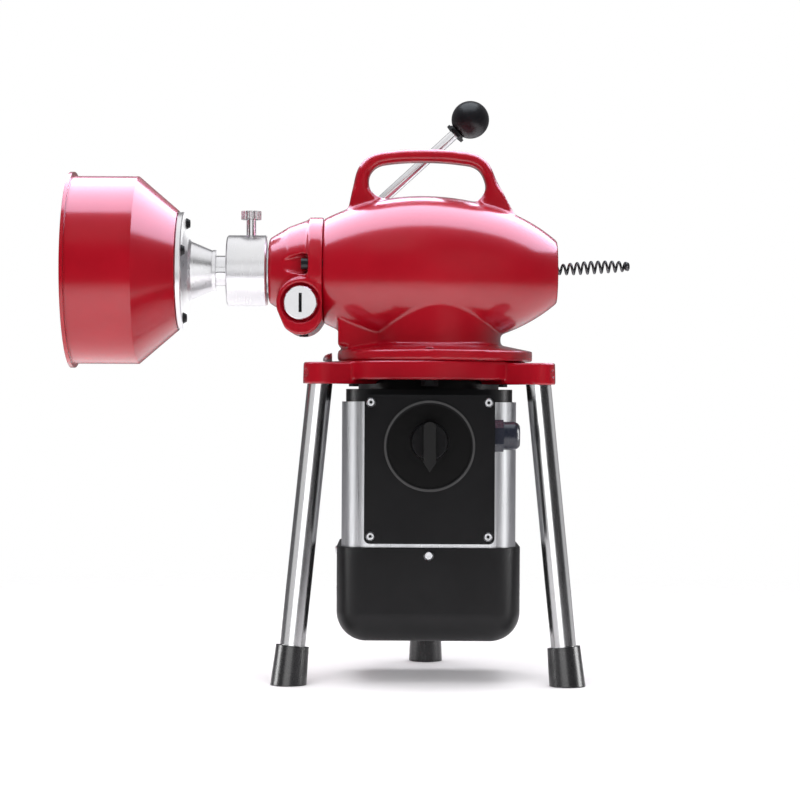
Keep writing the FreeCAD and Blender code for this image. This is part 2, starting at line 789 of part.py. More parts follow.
def motor_screw_spots():
    """Four screws inside the pedestal that hold the motor's top shield up to the plate."""
    return [(43 * cosine(angle), 43 * sine(angle)) for angle in (45, 135, 225, 315)]


def plate_screws():
    """Bolts up into the flange, and socket screws down into the motor's top shield."""
    screws = []
    for n, (x, y) in enumerate(plate_bolt_spots()):
        head = hexagon(f"plate_bolt_head_{n}", 13.0, 5.3, x, y, D.plate_z - 5.3)
        shank = cylinder(f"plate_bolt_shank_{n}", 4.0, D.plate_thick + 11, x, y, D.plate_z)
        screws.append(fuse(f"plate_bolt_{n}", head, shank))
    for n, (x, y) in enumerate(motor_screw_spots()):
        head = cylinder(f"motor_screw_head_{n}", 5.0, 6.0, x, y, D.plate_z + D.plate_thick)
        shank = cylinder(f"motor_screw_shank_{n}", 3.0, D.plate_thick + 10, x, y, D.plate_z - 10)
        screws.append(fuse(f"motor_screw_{n}", head, shank))
    return group("plate_screws", screws)


def lock_screw():
    """Dome-headed socket screw in the lug beside the flange."""
    x = D.flange_x - D.flange_radius - 6
    top = D.plate_z + D.plate_thick
    dome = ball("lock_screw_dome", 7.4, x, 0, top)
    upper = block("lock_screw_keep", 8.0, 16.0, 8.0, x - 7, -8, top)
    head = common("lock_screw_head", dome, upper)
    socket = hexagon("lock_screw_socket", 5.0, 4.0, x - 2.6, 0, top + 4)
    shank = cylinder("lock_screw_shank", 3.0, 12.0, x, 0, top - 12)
    return cut("lock_screw", fuse("lock_screw_blank", head, shank), socket)


def leg(side):
    angle = LEG_ANGLES[side]
    outside = along_leg(f"leg_{side}_outside", D.leg_radius, D.foot_floor, D.leg_top_z - D.foot_floor, angle)
    inside = along_leg(f"leg_{side}_inside", D.leg_radius - D.leg_wall, D.foot_floor,
                       D.leg_top_z - D.foot_floor, angle)
    return cut(f"leg_{side}", outside, inside)


def foot(side):
    """Rubber cap that leans with the leg and is flat where it stands on the floor."""
    angle = LEG_ANGLES[side]
    slope = (D.foot_circle - D.leg_head_radius) / D.plate_z
    reach = D.foot_circle + 4 * slope
    cap = cone(f"foot_{side}_cap", D.foot_bottom_radius, D.foot_top_radius, D.foot_height + 4,
               reach * cosine(angle), reach * sine(angle), -4, leg_turn(angle))
    below = block(f"foot_{side}_below", 50.0, 50.0, 10.0, D.foot_circle * cosine(angle) - 25,
                  D.foot_circle * sine(angle) - 25, -10)
    bore = along_leg(f"foot_{side}_bore", D.leg_radius, D.foot_floor, D.foot_height, angle)
    return cut(f"foot_{side}", cap, below, bore)


# ---------------------------------------------------------------- motor

def corner_spots(place_x, place_y):
    """Four places on a centred rectangle."""
    return [(place_x * sign_x, place_y * sign_y) for sign_x in (-1, 1) for sign_y in (-1, 1)]


def motor_shell():
    """Extruded shell: rounded square outside, round bore, flutes between corner columns."""
    height = D.motor_top - D.motor_bottom
    outside = padded("shell_outside", rounded_rectangle(D.motor_half_width, D.motor_half_depth,
                                                        D.motor_corner), height, z=D.motor_bottom)
    bore = cylinder("shell_bore", D.stator_radius, height, 0, 0, D.motor_bottom)
    bolts = [cylinder(f"shell_bolt_hole_{n}", D.tie_bolt_radius + 0.5, height, x, y, D.motor_bottom)
             for n, (x, y) in enumerate(corner_spots(D.tie_bolt_place, D.tie_bolt_place))]
    flutes = []
    for sign in (-1, 1):
        for n, y in enumerate((-26.0, -9.0, 9.0, 26.0)):
            x = sign * D.motor_half_width.value
            flutes.append(cylinder(f"shell_flute_{'left' if sign < 0 else 'right'}_{n}", 3.0, height,
                                   sign * (D.motor_half_width + 1.6), y, D.motor_bottom))
    for n, x in enumerate((-42.0, -14.0, 14.0, 42.0)):
        flutes.append(cylinder(f"shell_flute_back_{n}", 3.0, height, x, D.motor_half_depth + 1.6,
                               D.motor_bottom))
    return cut("motor_shell", outside, bore, *bolts, *flutes)


def motor_top_shield():
    """Cast shield: square shoulder, round spigot and the neck that carries the upper bearing."""
    shoulder = padded("shield_shoulder", rounded_rectangle(D.shield_half_width, D.shield_half_width, 20.0),
                      D.shoulder_z - D.motor_top, z=D.motor_top)
    spigot = cylinder("shield_spigot", D.spigot_radius, D.plate_z - D.shoulder_z, 0, 0, D.shoulder_z)
    neck = cylinder("shield_neck", D.neck_radius, D.neck_top - D.plate_z, 0, 0, D.plate_z)
    solid = fuse("shield_solid", shoulder, spigot, neck)
    passage = cylinder("shield_passage", D.shaft_radius + 1.5, D.neck_top - D.motor_top, 0, 0, D.motor_top)
    seat = cylinder("shield_seat", D.top_bearing_radius, D.neck_top - D.top_bearing_z, 0, 0, D.top_bearing_z)
    hollow = cylinder("shield_hollow", 52.0, 6.0, 0, 0, D.motor_top)
    bolts = [cylinder(f"shield_bolt_hole_{n}", D.tie_bolt_radius, 9.0, x, y, D.motor_top)
             for n, (x, y) in enumerate(corner_spots(D.tie_bolt_place, D.tie_bolt_place))]
    screws = [cylinder(f"shield_screw_hole_{n}", 3.0, 10.0, x, y, D.plate_z - 10)
              for n, (x, y) in enumerate(motor_screw_spots())]
    return cut("motor_top_shield", solid, passage, seat, hollow, *bolts, *screws)


def motor_bottom_shield():
    height = D.motor_bottom - D.shield_low_z
    inset = D.cover_half_width - D.cover_wall
    inset_depth = D.cover_half_depth - D.cover_wall
    corner = D.cover_corner - D.cover_wall
    plate = padded("low_shield_plate", rounded_rectangle(inset, inset_depth, corner), height,
                   z=D.shield_low_z)
    seat = cylinder("low_shield_seat", D.low_bearing_radius, D.motor_bottom - D.low_bearing_z, 0, 0,
                    D.low_bearing_z)
    boss = cylinder("low_shield_boss", D.low_bearing_radius + 5, 7.0, 0, 0, D.motor_bottom)
    boss_seat = cylinder("low_shield_boss_seat", D.low_bearing_radius, 7.0, 0, 0, D.motor_bottom)
    hole = cylinder("low_shield_hole", D.shaft_tail_radius + 2, height, 0, 0, D.shield_low_z)
    bolts = [cylinder(f"low_shield_bolt_hole_{n}", D.tie_bolt_radius + 0.2, height, x, y, D.shield_low_z)
             for n, (x, y) in enumerate(corner_spots(D.tie_bolt_place, D.tie_bolt_place))]
    screws = [cylinder(f"low_shield_screw_hole_{n}", 2.0, 10.0, x, y, cover_screw_z(), turn)
              for n, (x, y, turn) in enumerate(cover_screw_places(0.0))]
    return cut("motor_bottom_shield", fuse("low_shield_solid", plate, boss), seat, boss_seat, hole,
               *bolts, *screws)


def tie_bolts():
    bolts = []
    for n, (x, y) in enumerate(corner_spots(D.tie_bolt_place, D.tie_bolt_place)):
        head = hexagon(f"tie_bolt_head_{n}", 8.0, 3.5, x, y, D.shield_low_z - 3.5)
        rod = cylinder(f"tie_bolt_rod_{n}", D.tie_bolt_radius, D.motor_top + 9 - D.shield_low_z, x, y,
                       D.shield_low_z)
        bolts.append(fuse(f"tie_bolt_{n}", head, rod))
    return group("tie_bolts", bolts)


def stator_core():
    """Laminated ring with 24 slots open to the bore."""
    ring = tube("stator_ring", D.stator_radius, D.stator_bore, D.stator_height, 0, 0, D.stator_bottom)
    slots = []
    for n in range(24):
        outline = [(D.stator_bore - 2, -2.0), (D.stator_bore + 12, -3.4), (D.stator_bore + 12, 3.4),
                   (D.stator_bore - 2, 2.0)]
        slots.append(padded(f"stator_slot_{n}", outline, D.stator_height + 2, 0, 0, D.stator_bottom - 1,
                            spin(15 * n)))
    return cut("stator_core", ring, *slots)


def stator_windings():
    """The end turns of the coils, a thick ring above and below the core."""
    low = tube("winding_low", D.stator_radius - 8, D.stator_bore + 2, D.winding_height, 0, 0,
               D.stator_bottom - D.winding_height)
    high = tube("winding_high", D.stator_radius - 8, D.stator_bore + 2, D.winding_height, 0, 0,
                D.stator_bottom + D.stator_height)
    return group("stator_windings", [low, high])


def rotor_core():
    return tube("rotor_core", D.rotor_radius, D.shaft_radius, D.stator_height + 4, 0, 0, D.stator_bottom - 2)


def motor_shaft():
    """Stepped shaft from the fan up to the pinion."""
    pinion_top = D.axis_z - 33
    return turned("motor_shaft", [
        (D.shaft_bottom, 0), (D.shaft_bottom, D.shaft_tail_radius),
        (D.low_bearing_z + D.low_bearing_width + 1, D.shaft_tail_radius),
        (D.low_bearing_z + D.low_bearing_width + 1, D.shaft_radius),
        (D.top_bearing_z + D.top_bearing_width + 2, D.shaft_radius),
        (D.top_bearing_z + D.top_bearing_width + 2, D.pinion_bore),
        (pinion_top, D.pinion_bore), (pinion_top, 0)], turn=UPRIGHT)


def cooling_fan():
    """Radial fan: hub, back plate and seven straight blades."""
    hub = cylinder("fan_hub", D.fan_hub_radius, D.fan_height, 0, 0, D.fan_z)
    back = cylinder("fan_back", D.fan_radius, 2.5, 0, 0, D.fan_z + D.fan_height - 2.5)
    blades = []
    for n in range(7):
        outline = [(D.fan_hub_radius - 2, -D.fan_blade / 2), (D.fan_radius - 1, -D.fan_blade / 2),
                   (D.fan_radius - 1, D.fan_blade / 2), (D.fan_hub_radius - 2, D.fan_blade / 2)]
        blades.append(padded(f"fan_blade_{n}", outline, D.fan_height, 0, 0, D.fan_z, spin(360 * n / 7)))
    bore = cylinder("fan_bore", D.shaft_tail_radius, D.fan_height, 0, 0, D.fan_z)
    return cut("cooling_fan", fuse("fan_solid", hub, back, *blades), bore)


def cover_corner_profile(half_width, half_depth, corner, bottom, edge, top):
    """A tub: rounded-square walls whose bottom edge is rounded all the way round."""
    body = doc.addObject("PartDesign::Body", f"tub_{int(half_width.value * 10)}")
    pad = body.newObject("PartDesign::Pad", body.Name + "_pad")
    pad.Profile = draw_outline(body, "XY_Plane", rounded_rectangle(half_width, half_depth, corner))
    bind(pad, Length=top - bottom)
    doc.recompute()
    edges = [f"Edge{n}" for n, side in enumerate(pad.Shape.Edges, start=1)
             if side.BoundBox.ZMax < 0.01]
    fillet = body.newObject("PartDesign::Fillet", body.Name + "_edge")
    fillet.Base = (pad, edges)
    bind(fillet, Radius=edge)
    return place(body, 0, 0, bottom)


def fan_cover():
    """Black tub under the motor with a round grille of slots in its floor."""
    outside = cover_corner_profile(D.cover_half_width, D.cover_half_depth, D.cover_corner,
                                   D.cover_bottom, D.cover_corner - 1, D.motor_bottom)
    wall = D.cover_wall
    inside = cover_corner_profile(D.cover_half_width - wall, D.cover_half_depth - wall,
                                  D.cover_corner - wall, D.cover_bottom + wall,
                                  D.cover_corner - wall - 1, D.motor_bottom)
    slots = []
    for ring, radius in enumerate((20.0, 32.0, 44.0)):
        outer = cylinder(f"grille_out_{ring}", radius + 5, 10.0, 0, 0, D.cover_bottom - 2)
        inner = cylinder(f"grille_in_{ring}", radius, 10.0, 0, 0, D.cover_bottom - 2)
        ring_cut = cut(f"grille_ring_{ring}", outer, inner)
        bars = [block(f"grille_bar_{ring}_{n}", 2 * radius + 20, 5.0, 12.0,
                      -(radius + 10) * math.cos(math.radians(45 * n)) + 2.5 * math.sin(math.radians(45 * n)),
                      -(radius + 10) * math.sin(math.radians(45 * n)) - 2.5 * math.cos(math.radians(45 * n)),
                      D.cover_bottom - 3, spin(45 * n)) for n in range(4)]
        slots.append(cut(f"grille_slots_{ring}", ring_cut, *bars))
    screws = [cylinder(f"cover_screw_hole_{n}", 2.0, D.cover_wall, x, y, cover_screw_z(), turn)
              for n, (x, y, turn) in enumerate(cover_screw_places(D.cover_wall))]
    return cut("fan_cover", outside, inside, *slots, *screws)


def cover_screw_z():
    return D.motor_bottom - 6.5


def cover_screw_places(proud):
    """Front, back and both sides of the cover, with the turn that points each screw inwards."""
    turn_in = FreeCAD.Rotation(FreeCAD.Vector(0, 1, 0), -90)
    depth = D.cover_half_depth - D.cover_wall + proud
    width = D.cover_half_width - D.cover_wall + proud
    return [(0, -depth, spin(-90) * turn_in), (0, depth, spin(90) * turn_in),
            (width, 0, turn_in), (-width, 0, spin(180) * turn_in)]


def fan_cover_screws():
    screws = []
    for n, (x, y, turn) in enumerate(cover_screw_places(D.cover_wall)):
        shank = cylinder(f"cover_screw_shank_{n}", 2.0, 10.0, x, y, cover_screw_z(), turn)
        head = cone(f"cover_screw_head_{n}", 4.6, 3.2, 2.4, x, y, cover_screw_z(),
                    turn * UPSIDE_DOWN)
        screws.append(fuse(f"cover_screw_{n}", head, shank))
    return group("fan_cover_screws", screws)


# ---------------------------------------------------------------- switch box and gland

def front_plate(name, half_width, low, high, corner, thick, back_y):
    """A rounded plate that faces the front, from back_y towards the front."""
    half = (high - low) / 2
    return padded(name, rounded_rectangle(half_width, half, corner), thick, 0, -back_y,
                  low + half, FACING_FRONT)


def switch_box():
    depth = D.box_front - D.motor_half_depth
    outside = front_plate("box_outside", D.box_half_width, D.box_bottom, D.box_top, D.box_corner,
                          depth, D.motor_half_depth)
    inside = front_plate("box_inside", D.box_half_width - D.box_wall, D.box_bottom + D.box_wall,
                         D.box_top - D.box_wall, 3.0, depth, D.motor_half_depth + D.box_wall)
    posts = [cylinder(f"box_post_{n}", 4.5, depth - D.box_wall, x, -(D.motor_half_depth + D.box_wall),
                      z, FACING_FRONT) for n, (x, z) in enumerate(lid_screw_spots())]
    taps = [cylinder(f"box_tap_{n}", 1.8, 14.0, x, -(D.box_front - 14), z, FACING_FRONT)
            for n, (x, z) in enumerate(lid_screw_spots())]
    gland_hole = cylinder("gland_hole", 10.0, 8.0, D.box_half_width - 5, -D.gland_y, D.gland_z, ALONG_X)
    return cut("switch_box", fuse("box_solid", cut("box_shell", outside, inside), *posts), *taps, gland_hole)


def lid_screw_spots():
    middle = (D.box_bottom + D.box_top) / 2
    return [(x, middle + z) for x, z in corner_spots(D.lid_screw_half_width, D.lid_screw_half_height)]


def switch_lid():
    """Lid with the raised round bezel of the switch."""
    plate = front_plate("lid_plate", D.box_half_width, D.box_bottom, D.box_top, D.box_corner,
                        D.lid_thick, D.box_front)
    outer = cylinder("bezel_outer", D.bezel_radius, D.bezel_thick, 0, -(D.box_front + D.lid_thick),
                     D.bezel_z, FACING_FRONT)
    dish = cylinder("bezel_dish", D.bezel_radius - 3, D.bezel_thick, 0,
                    -(D.box_front + D.lid_thick + D.bezel_thick / 2), D.bezel_z, FACING_FRONT)
    hole = cylinder("knob_hole", 4.0, 8.0, 0, -(D.box_front - 1), D.knob_z, FACING_FRONT)
    screws = [cylinder(f"lid_screw_hole_{n}", 1.8, D.lid_thick, x, -D.box_front, z, FACING_FRONT)
              for n, (x, z) in enumerate(lid_screw_spots())]
    return cut("switch_lid", fuse("lid_solid", plate, outer), dish, hole, *screws)


def lid_screws():
    """Pan-head screws at the corners of the lid, each with a cross recess."""
    screws = []
    for n, (x, z) in enumerate(lid_screw_spots()):
        front = D.box_front + D.lid_thick
        head = cone(f"lid_screw_head_{n}", 4.2, 3.0, 2.2, x, -front, z, FACING_FRONT)
        shank = cylinder(f"lid_screw_shank_{n}", 1.8, D.lid_thick + 11, x, -(front - D.lid_thick - 11), z,
                         FACING_FRONT)
        bars = [block(f"lid_screw_cross_{n}_{k}", length, 2.0, width, x - length / 2, -(front + 2.4),
                      z - width / 2) for k, (length, width) in enumerate(((4.4, 1.0), (1.0, 4.4)))]
        screws.append(cut(f"lid_screw_{n}", fuse(f"lid_screw_blank_{n}", head, shank), *bars))
    return group("lid_screws", screws)


def switch_knob():
    """Round base, pointer grip that tapers to its tip, and the shaft into the switch."""
    face = D.box_front + D.lid_thick + D.bezel_thick / 2 + 0.4
    base = cone("knob_base", D.knob_radius, D.knob_radius - 1.2, D.knob_base, 0, -face, D.knob_z,
                FACING_FRONT)
    half = D.pointer_width / 2
    pointer = padded("knob_pointer", [
        (-half, 8 - D.pointer_down), (0, -D.pointer_down), (half, 8 - D.pointer_down),
        (half, D.pointer_up - 4), (-half, D.pointer_up - 4, half + 1)],
        D.knob_reach - face, 0, -face, D.knob_z, FACING_FRONT)
    shaft = cylinder("knob_shaft", 3.6, 18.0, 0, -(face - 18), D.knob_z, FACING_FRONT)
    return fuse("switch_knob", base, pointer, shaft)


def switch_block():
    """The switch itself, behind the lid, with a bore for the knob's shaft."""
    body = block("switch_block_body", 44.0, 20.0, 44.0, -22, -(D.box_front - 2), D.knob_z - 22)
    bore = cylinder("switch_block_bore", 4.0, 16.0, 0, -(D.box_front - 16), D.knob_z, FACING_FRONT)
    return cut("switch_block", body, bore)


def run_capacitor():
    return cylinder("run_capacitor", 11.0, 48.0, -20, -(D.motor_half_depth + D.box_wall + 11.5), 140.0)


def gland_body():
    """Hexagon outside the box wall, thread through it and the thread that the nut turns on."""
    start = D.box_half_width
    flats = hexagon("gland_flats", D.gland_flats, D.gland_hex, start, -D.gland_y, D.gland_z, ALONG_X)
    inner = cylinder("gland_thread_in", 10.0, 12.0, start - 12, -D.gland_y, D.gland_z, ALONG_X)
    outer = cylinder("gland_thread_out", 9.0, 8.0, start + D.gland_hex, -D.gland_y, D.gland_z, ALONG_X)
    bore = cylinder("gland_body_bore", D.gland_bore + 1.5, 40.0, start - 14, -D.gland_y, D.gland_z, ALONG_X)
    return cut("gland_body", fuse("gland_body_solid", flats, inner, outer), bore)


def gland_nut():
    """Dome nut that closes on the cable."""
    start = D.box_half_width + D.gland_hex
    length = D.gland_reach - D.gland_hex
    nut = turned("gland_nut_dome", [
        (start, D.gland_bore), (start, 12.2), (start + length - 5, 12.2),
        (start + length, 8.4, 6.5), (start + length, D.gland_bore)], 0, -D.gland_y, D.gland_z)
    seat = cylinder("gland_nut_seat", 9.0, 8.0, start, -D.gland_y, D.gland_z, ALONG_X)
    return cut("gland_nut", nut, seat)


# ---------------------------------------------------------------- guide collar and thumb screw

def guide_collar():
    """Turned collar with a spigot into the nose; the drum's neck tube passes through it."""
    edge = 1.2
    collar = turned("collar_ring", [
        (D.collar_left, D.neck_tube_radius + 0.5), (D.collar_left, D.collar_radius - edge),
        (D.collar_left + edge, D.collar_radius), (D.collar_right - edge, D.collar_radius),
        (D.collar_right, D.collar_radius - edge), (D.collar_right, D.mouth_radius),
        (D.nose_left + D.mouth_length, D.mouth_radius),
        (D.nose_left + D.mouth_length, D.neck_tube_radius + 0.5)], z=D.axis_z)
    hole = cylinder("thumb_hole", D.thumb_stem_radius + D.running_fit, 40.0, D.thumb_x, 0, D.axis_z)
    return cut("guide_collar", collar, hole)


def thumb_screw_stem():
    top = D.thumb_head_high - 2
    return cylinder("thumb_screw_stem", D.thumb_stem_radius, top - D.thumb_tip, D.thumb_x, 0,
                    D.axis_z + D.thumb_tip)


KNURLS = 18


def thumb_screw_head():
    """Knurled head, bored for the stem, with a shallow dish on top."""
    height = D.thumb_head_high - D.thumb_head_low
    head = cylinder("thumb_head_blank", D.thumb_head_radius, height, D.thumb_x, 0,
                    D.axis_z + D.thumb_head_low)
    bore = cylinder("thumb_head_bore", D.thumb_stem_radius + D.running_fit, height, D.thumb_x, 0,
                    D.axis_z + D.thumb_head_low - D.thumb_dish)
    knurls = []
    reach = D.thumb_head_radius + D.knurl_out
    for n in range(KNURLS):
        angle = 360 / KNURLS * n
        knurls.append(cylinder(f"knurl_{n}", D.knurl_radius, height, D.thumb_x + reach * cosine(angle),
                               reach * sine(angle), D.axis_z + D.thumb_head_low))
    return cut("thumb_screw_head", head, bore, *knurls)


# ---------------------------------------------------------------- spindle, gears and bearings

def spindle():
    """Hollow spindle: cone for the jaws at its head, a shoulder for the gear and two bearing seats."""
    seat = D.rear_bearing_left
    cone_end = D.spindle_left + (D.cone_mouth_radius - D.spindle_bore) / tangent(D.cone_angle)
    gear_seat = gear_place()
    return turned("spindle", [
        (D.spindle_left, D.cone_mouth_radius), (D.spindle_left, D.spindle_head_radius),
        (seat, D.spindle_head_radius), (seat, D.spindle_radius), (gear_seat - 14, D.spindle_radius),
        (gear_seat - 14, D.spindle_radius + 4), (gear_seat, D.spindle_radius + 4),
        (gear_seat, D.spindle_radius), (D.end_bearing_left - 3, D.spindle_radius),
        (D.end_bearing_left - 3, D.spindle_end_radius), (D.spindle_right, D.spindle_end_radius),
        (D.spindle_right, D.spindle_bore), (cone_end, D.spindle_bore)], z=D.axis_z)


def cone_distance():
    """Distance from the meeting point of the axes to the outer ends of the gear teeth."""
    pitch_gear = D.gear_module * D.gear_teeth / 2
    pitch_pinion = D.gear_module * D.pinion_teeth / 2
    return math.hypot(pitch_gear.value, pitch_pinion.value)


def gear_place():
    """X of the back of the crown gear."""
    return -(D.gear_module * D.pinion_teeth / 2) - D.gear_back


def bevel_gear(name, teeth, mate_teeth, bore, back, turn, phase):
    """Straight bevel gear with its apex where the axes meet and its own Z pointing away from it."""
    module = D.gear_module.value
    far = cone_distance()
    near = far - D.gear_face.value
    pitch = math.atan2(teeth, mate_teeth)
    tooth_half = math.pi * module / 4 * D.tooth_thinning.value
    tip, root, pressure = 0.8 * module, 1.25 * module, math.tan(math.radians(20))

    def spot(distance, lift, side):
        """A point of the tooth at a cone distance, lifted off the pitch cone; side is -1 or 1."""
        scale = distance / far
        radius = distance * math.sin(pitch) + lift * scale * math.cos(pitch)
        height = distance * math.cos(pitch) - lift * scale * math.sin(pitch)
        half = (tooth_half - lift * pressure) * scale
        angle = side * half / (distance * math.sin(pitch))
        return FreeCAD.Vector(radius * math.cos(angle), radius * math.sin(angle), height)

    sections = []
    for distance in (near, far):
        corners = [spot(distance, lift, side) for lift, side in
                   ((-root - 0.3, -1), (tip, -1), (tip, 1), (-root - 0.3, 1))]
        sections.append(Part.makePolygon(corners + corners[:1]))
    tooth = Part.makeLoft(sections, True, True)
    low = spot(near, -root, 0)
    high = spot(far, -root, 0)
    end_height = high.z + back
    profile = Part.makePolygon([
        FreeCAD.Vector(bore, 0, low.z), FreeCAD.Vector(low.x, 0, low.z), FreeCAD.Vector(high.x, 0, high.z),
        FreeCAD.Vector(high.x, 0, end_height), FreeCAD.Vector(bore, 0, end_height),
        FreeCAD.Vector(bore, 0, low.z)])
    blank = Part.Face(profile).revolve(FreeCAD.Vector(), FreeCAD.Vector(0, 0, 1), 360)
    ring = []
    for n in range(int(teeth)):
        copy = tooth.copy()
        copy.rotate(FreeCAD.Vector(), FreeCAD.Vector(0, 0, 1), phase + 360 * n / teeth)
        ring.append(copy)
    item = doc.addObject("Part::Feature", name)
    item.Shape = blank.fuse(ring).removeSplitter()
    return place(item, 0, 0, D.axis_z, turn)


def crown_gear():
    """The large gear, on the spindle: a space of its teeth faces straight down."""
    half_pitch = 180 / D.gear_teeth.value
    pitch_x = (D.gear_module * D.pinion_teeth / 2).value
    return bevel_gear("crown_gear", D.gear_teeth.value, D.pinion_teeth.value, D.spindle_radius.value,
                      D.gear_back.value - (high_offset() - pitch_x), AGAINST_X, half_pitch)


def high_offset():
    """Height of the crown gear's tooth root above the apex, at the outer ends of the teeth."""
    pitch = math.atan2(D.gear_teeth.value, D.pinion_teeth.value)
    return cone_distance() * math.cos(pitch) + 1.25 * D.gear_module.value * math.sin(pitch)


def drive_pinion():
    """The small gear on the motor shaft: one of its teeth points at the crown gear."""
    return bevel_gear("drive_pinion", D.pinion_teeth.value, D.gear_teeth.value, D.pinion_bore.value,
                      3.0, UPSIDE_DOWN, 180)


BEARING_BALLS = 10


def ball_bearing(name, left, width, outer, bore, turn, z=0.0):
    """Outer ring, inner ring and balls, along the object's own Z from left."""
    middle = (outer + bore) / 2
    land = (outer - bore) / 5
    race = (outer - bore) / 4 * 0.96

    def ring(part, low, high):
        body = turned(f"{name}_{part}_blank", [(left, low), (left, high), (left + width, high),
                                               (left + width, low)], 0, 0, z, turn)
        groove = doc.addObject("Part::Torus", f"{name}_{part}_groove")
        bind(groove, Radius1=middle, Radius2=race + 0.04)
        axis = turn.multVec(FreeCAD.Vector(0, 0, 1))
        centre = left + width / 2
        place(groove, centre * axis.x, 0, size_of(z) + centre * axis.z, turn)
        return cut(f"{name}_{part}", body, groove)

    outer_ring = ring("outer", outer - land, outer)
    inner_ring = ring("inner", bore, bore + land)
    balls = []
    for n in range(BEARING_BALLS):
        angle = math.radians(360 / BEARING_BALLS * n)
        across = turn.multVec(FreeCAD.Vector(math.cos(angle), math.sin(angle), 0))
        axis = turn.multVec(FreeCAD.Vector(0, 0, 1))
        centre = left + width / 2
        balls.append(ball(f"{name}_ball_{n}", race - 0.06, centre * axis.x + middle * across.x,
                          middle * across.y, size_of(z) + centre * axis.z + middle * across.z))
    return outer_ring, inner_ring, balls


def spindle_bearing_nodes():
    rear = ball_bearing("rear_bearing", D.rear_bearing_left, D.rear_bearing_width, D.rear_bearing_radius,
                        D.spindle_radius, ALONG_X, D.axis_z)
    end = ball_bearing("end_bearing", D.end_bearing_left, D.end_bearing_width, D.end_bearing_radius,
                       D.spindle_end_radius, ALONG_X, D.axis_z)
    fixed = group("spindle_bearings", [rear[0], end[0]] + rear[2] + end[2])
    return fixed, group("spindle_bearing_inners", [rear[1], end[1]])


def motor_bearing_nodes():
    top = ball_bearing("top_bearing", D.top_bearing_z, D.top_bearing_width, D.top_bearing_radius,
                       D.shaft_radius, UPRIGHT)
    low = ball_bearing("low_bearing", D.low_bearing_z, D.low_bearing_width, D.low_bearing_radius,
                       D.shaft_tail_radius, UPRIGHT)
    fixed = group("motor_bearings", [top[0], low[0]] + top[2] + low[2])
    return fixed, group("motor_bearing_inners", [top[1], low[1]])


# ---------------------------------------------------------------- clutch

JAW_ANGLES = (90, 210, 330)


def chuck_jaw(number):
    """One of three gripping jaws, drawn back up the cone by its stroke: closed, it fits the cone."""
    angle = JAW_ANGLES[number - 1]
    rise = tangent(D.cone_angle)
    closed_left = D.jaw_left + D.jaw_stroke
    left_radius = D.cone_mouth_radius - D.cone_clearance - (closed_left - D.spindle_left) * rise
    y, z = ring_spot(D.jaw_stroke * rise, angle)
    outer = cone(f"jaw_{number}_outside", left_radius, left_radius - D.jaw_length * rise, D.jaw_length,
                 D.jaw_left, y, z, ALONG_X)
    inner = cylinder(f"jaw_{number}_inside", D.jaw_bore, D.jaw_length, D.jaw_left, y, z, ALONG_X)
    half = D.jaw_span / 2
    reach = 40.0
    sector = padded(f"jaw_{number}_sector", [
        (0, 0), (reach * sine(half), reach * cosine(half)), (0, reach * 1.4),
        (-(reach * sine(half)), reach * cosine(half))], D.jaw_length, D.jaw_left, y, z, outwards(angle))
    return common(f"chuck_jaw_{number}", cut(f"jaw_{number}_ring", outer, inner), sector)


def clutch_sleeve():
    """Sleeve with the fork's groove, and the thrust ring that pushes the jaws."""
    centre = D.pivot_x
    return turned("clutch_sleeve", [
        (D.sleeve_left, D.sleeve_bore), (D.sleeve_left, D.sleeve_radius),
        (centre - D.groove_half, D.sleeve_radius), (centre - D.groove_half, D.sleeve_groove_radius),
        (centre + D.groove_half, D.sleeve_groove_radius), (centre + D.groove_half, D.sleeve_radius),
        (D.thrust_left, D.sleeve_radius), (D.thrust_left, D.thrust_radius),
        (D.thrust_right, D.thrust_radius), (D.thrust_right, D.sleeve_bore)], z=D.axis_z)


def lever_fork():
    """Hub keyed on the pivot shaft, two arms and the round pads that ride in the sleeve's groove."""
    pivot_z = D.axis_z - D.pivot_drop
    top = D.fork_reach + 3.4
    hub = cylinder("fork_hub", 8.2, D.fork_outside * 2, D.pivot_x, -D.fork_outside, pivot_z, ALONG_Y)
    bore = cylinder("fork_bore", D.pivot_radius, D.fork_outside * 2, D.pivot_x, -D.fork_outside, pivot_z,
                    ALONG_Y)
    pieces = [hub]
    for side, sign in (("near", -1), ("far", 1)):
        thick = D.fork_outside - D.fork_inside
        low_y = -D.fork_outside if sign < 0 else D.fork_inside
        pieces.append(block(f"fork_arm_{side}", D.fork_arm_half * 2, thick, top,
                            D.pivot_x - D.fork_arm_half, low_y, pivot_z))
        pad_y = -D.fork_inside if sign < 0 else D.pad_inside
        pieces.append(cylinder(f"fork_pad_{side}", D.pad_radius, D.fork_inside - D.pad_inside,
                               D.pivot_x, pad_y, pivot_z + D.fork_reach, ALONG_Y))
    return cut("lever_fork", fuse("fork_solid", *pieces), bore)


def lever_shaft():
    """Pivot shaft that ends in a slotted disc on the switch side."""
    pivot_z = D.axis_z - D.pivot_drop
    front = D.boss_front + 0.6
    disc = turned("pivot_disc", [
        (-front, 0), (-front, D.disc_radius - 1), (1 - front, D.disc_radius),
        (D.disc_thick - front, D.disc_radius), (D.disc_thick - front, D.pivot_radius),
        (D.hub_back - 4, D.pivot_radius), (D.hub_back - 4, 0)], D.pivot_x, 0, pivot_z, ALONG_Y)
    slot = block("pivot_slot", D.pivot_slot_width, D.pivot_slot_depth, D.pivot_slot_length,
                 D.pivot_x - D.pivot_slot_width / 2, -front, pivot_z - D.pivot_slot_length / 2)
    return cut("lever_shaft", disc, slot)


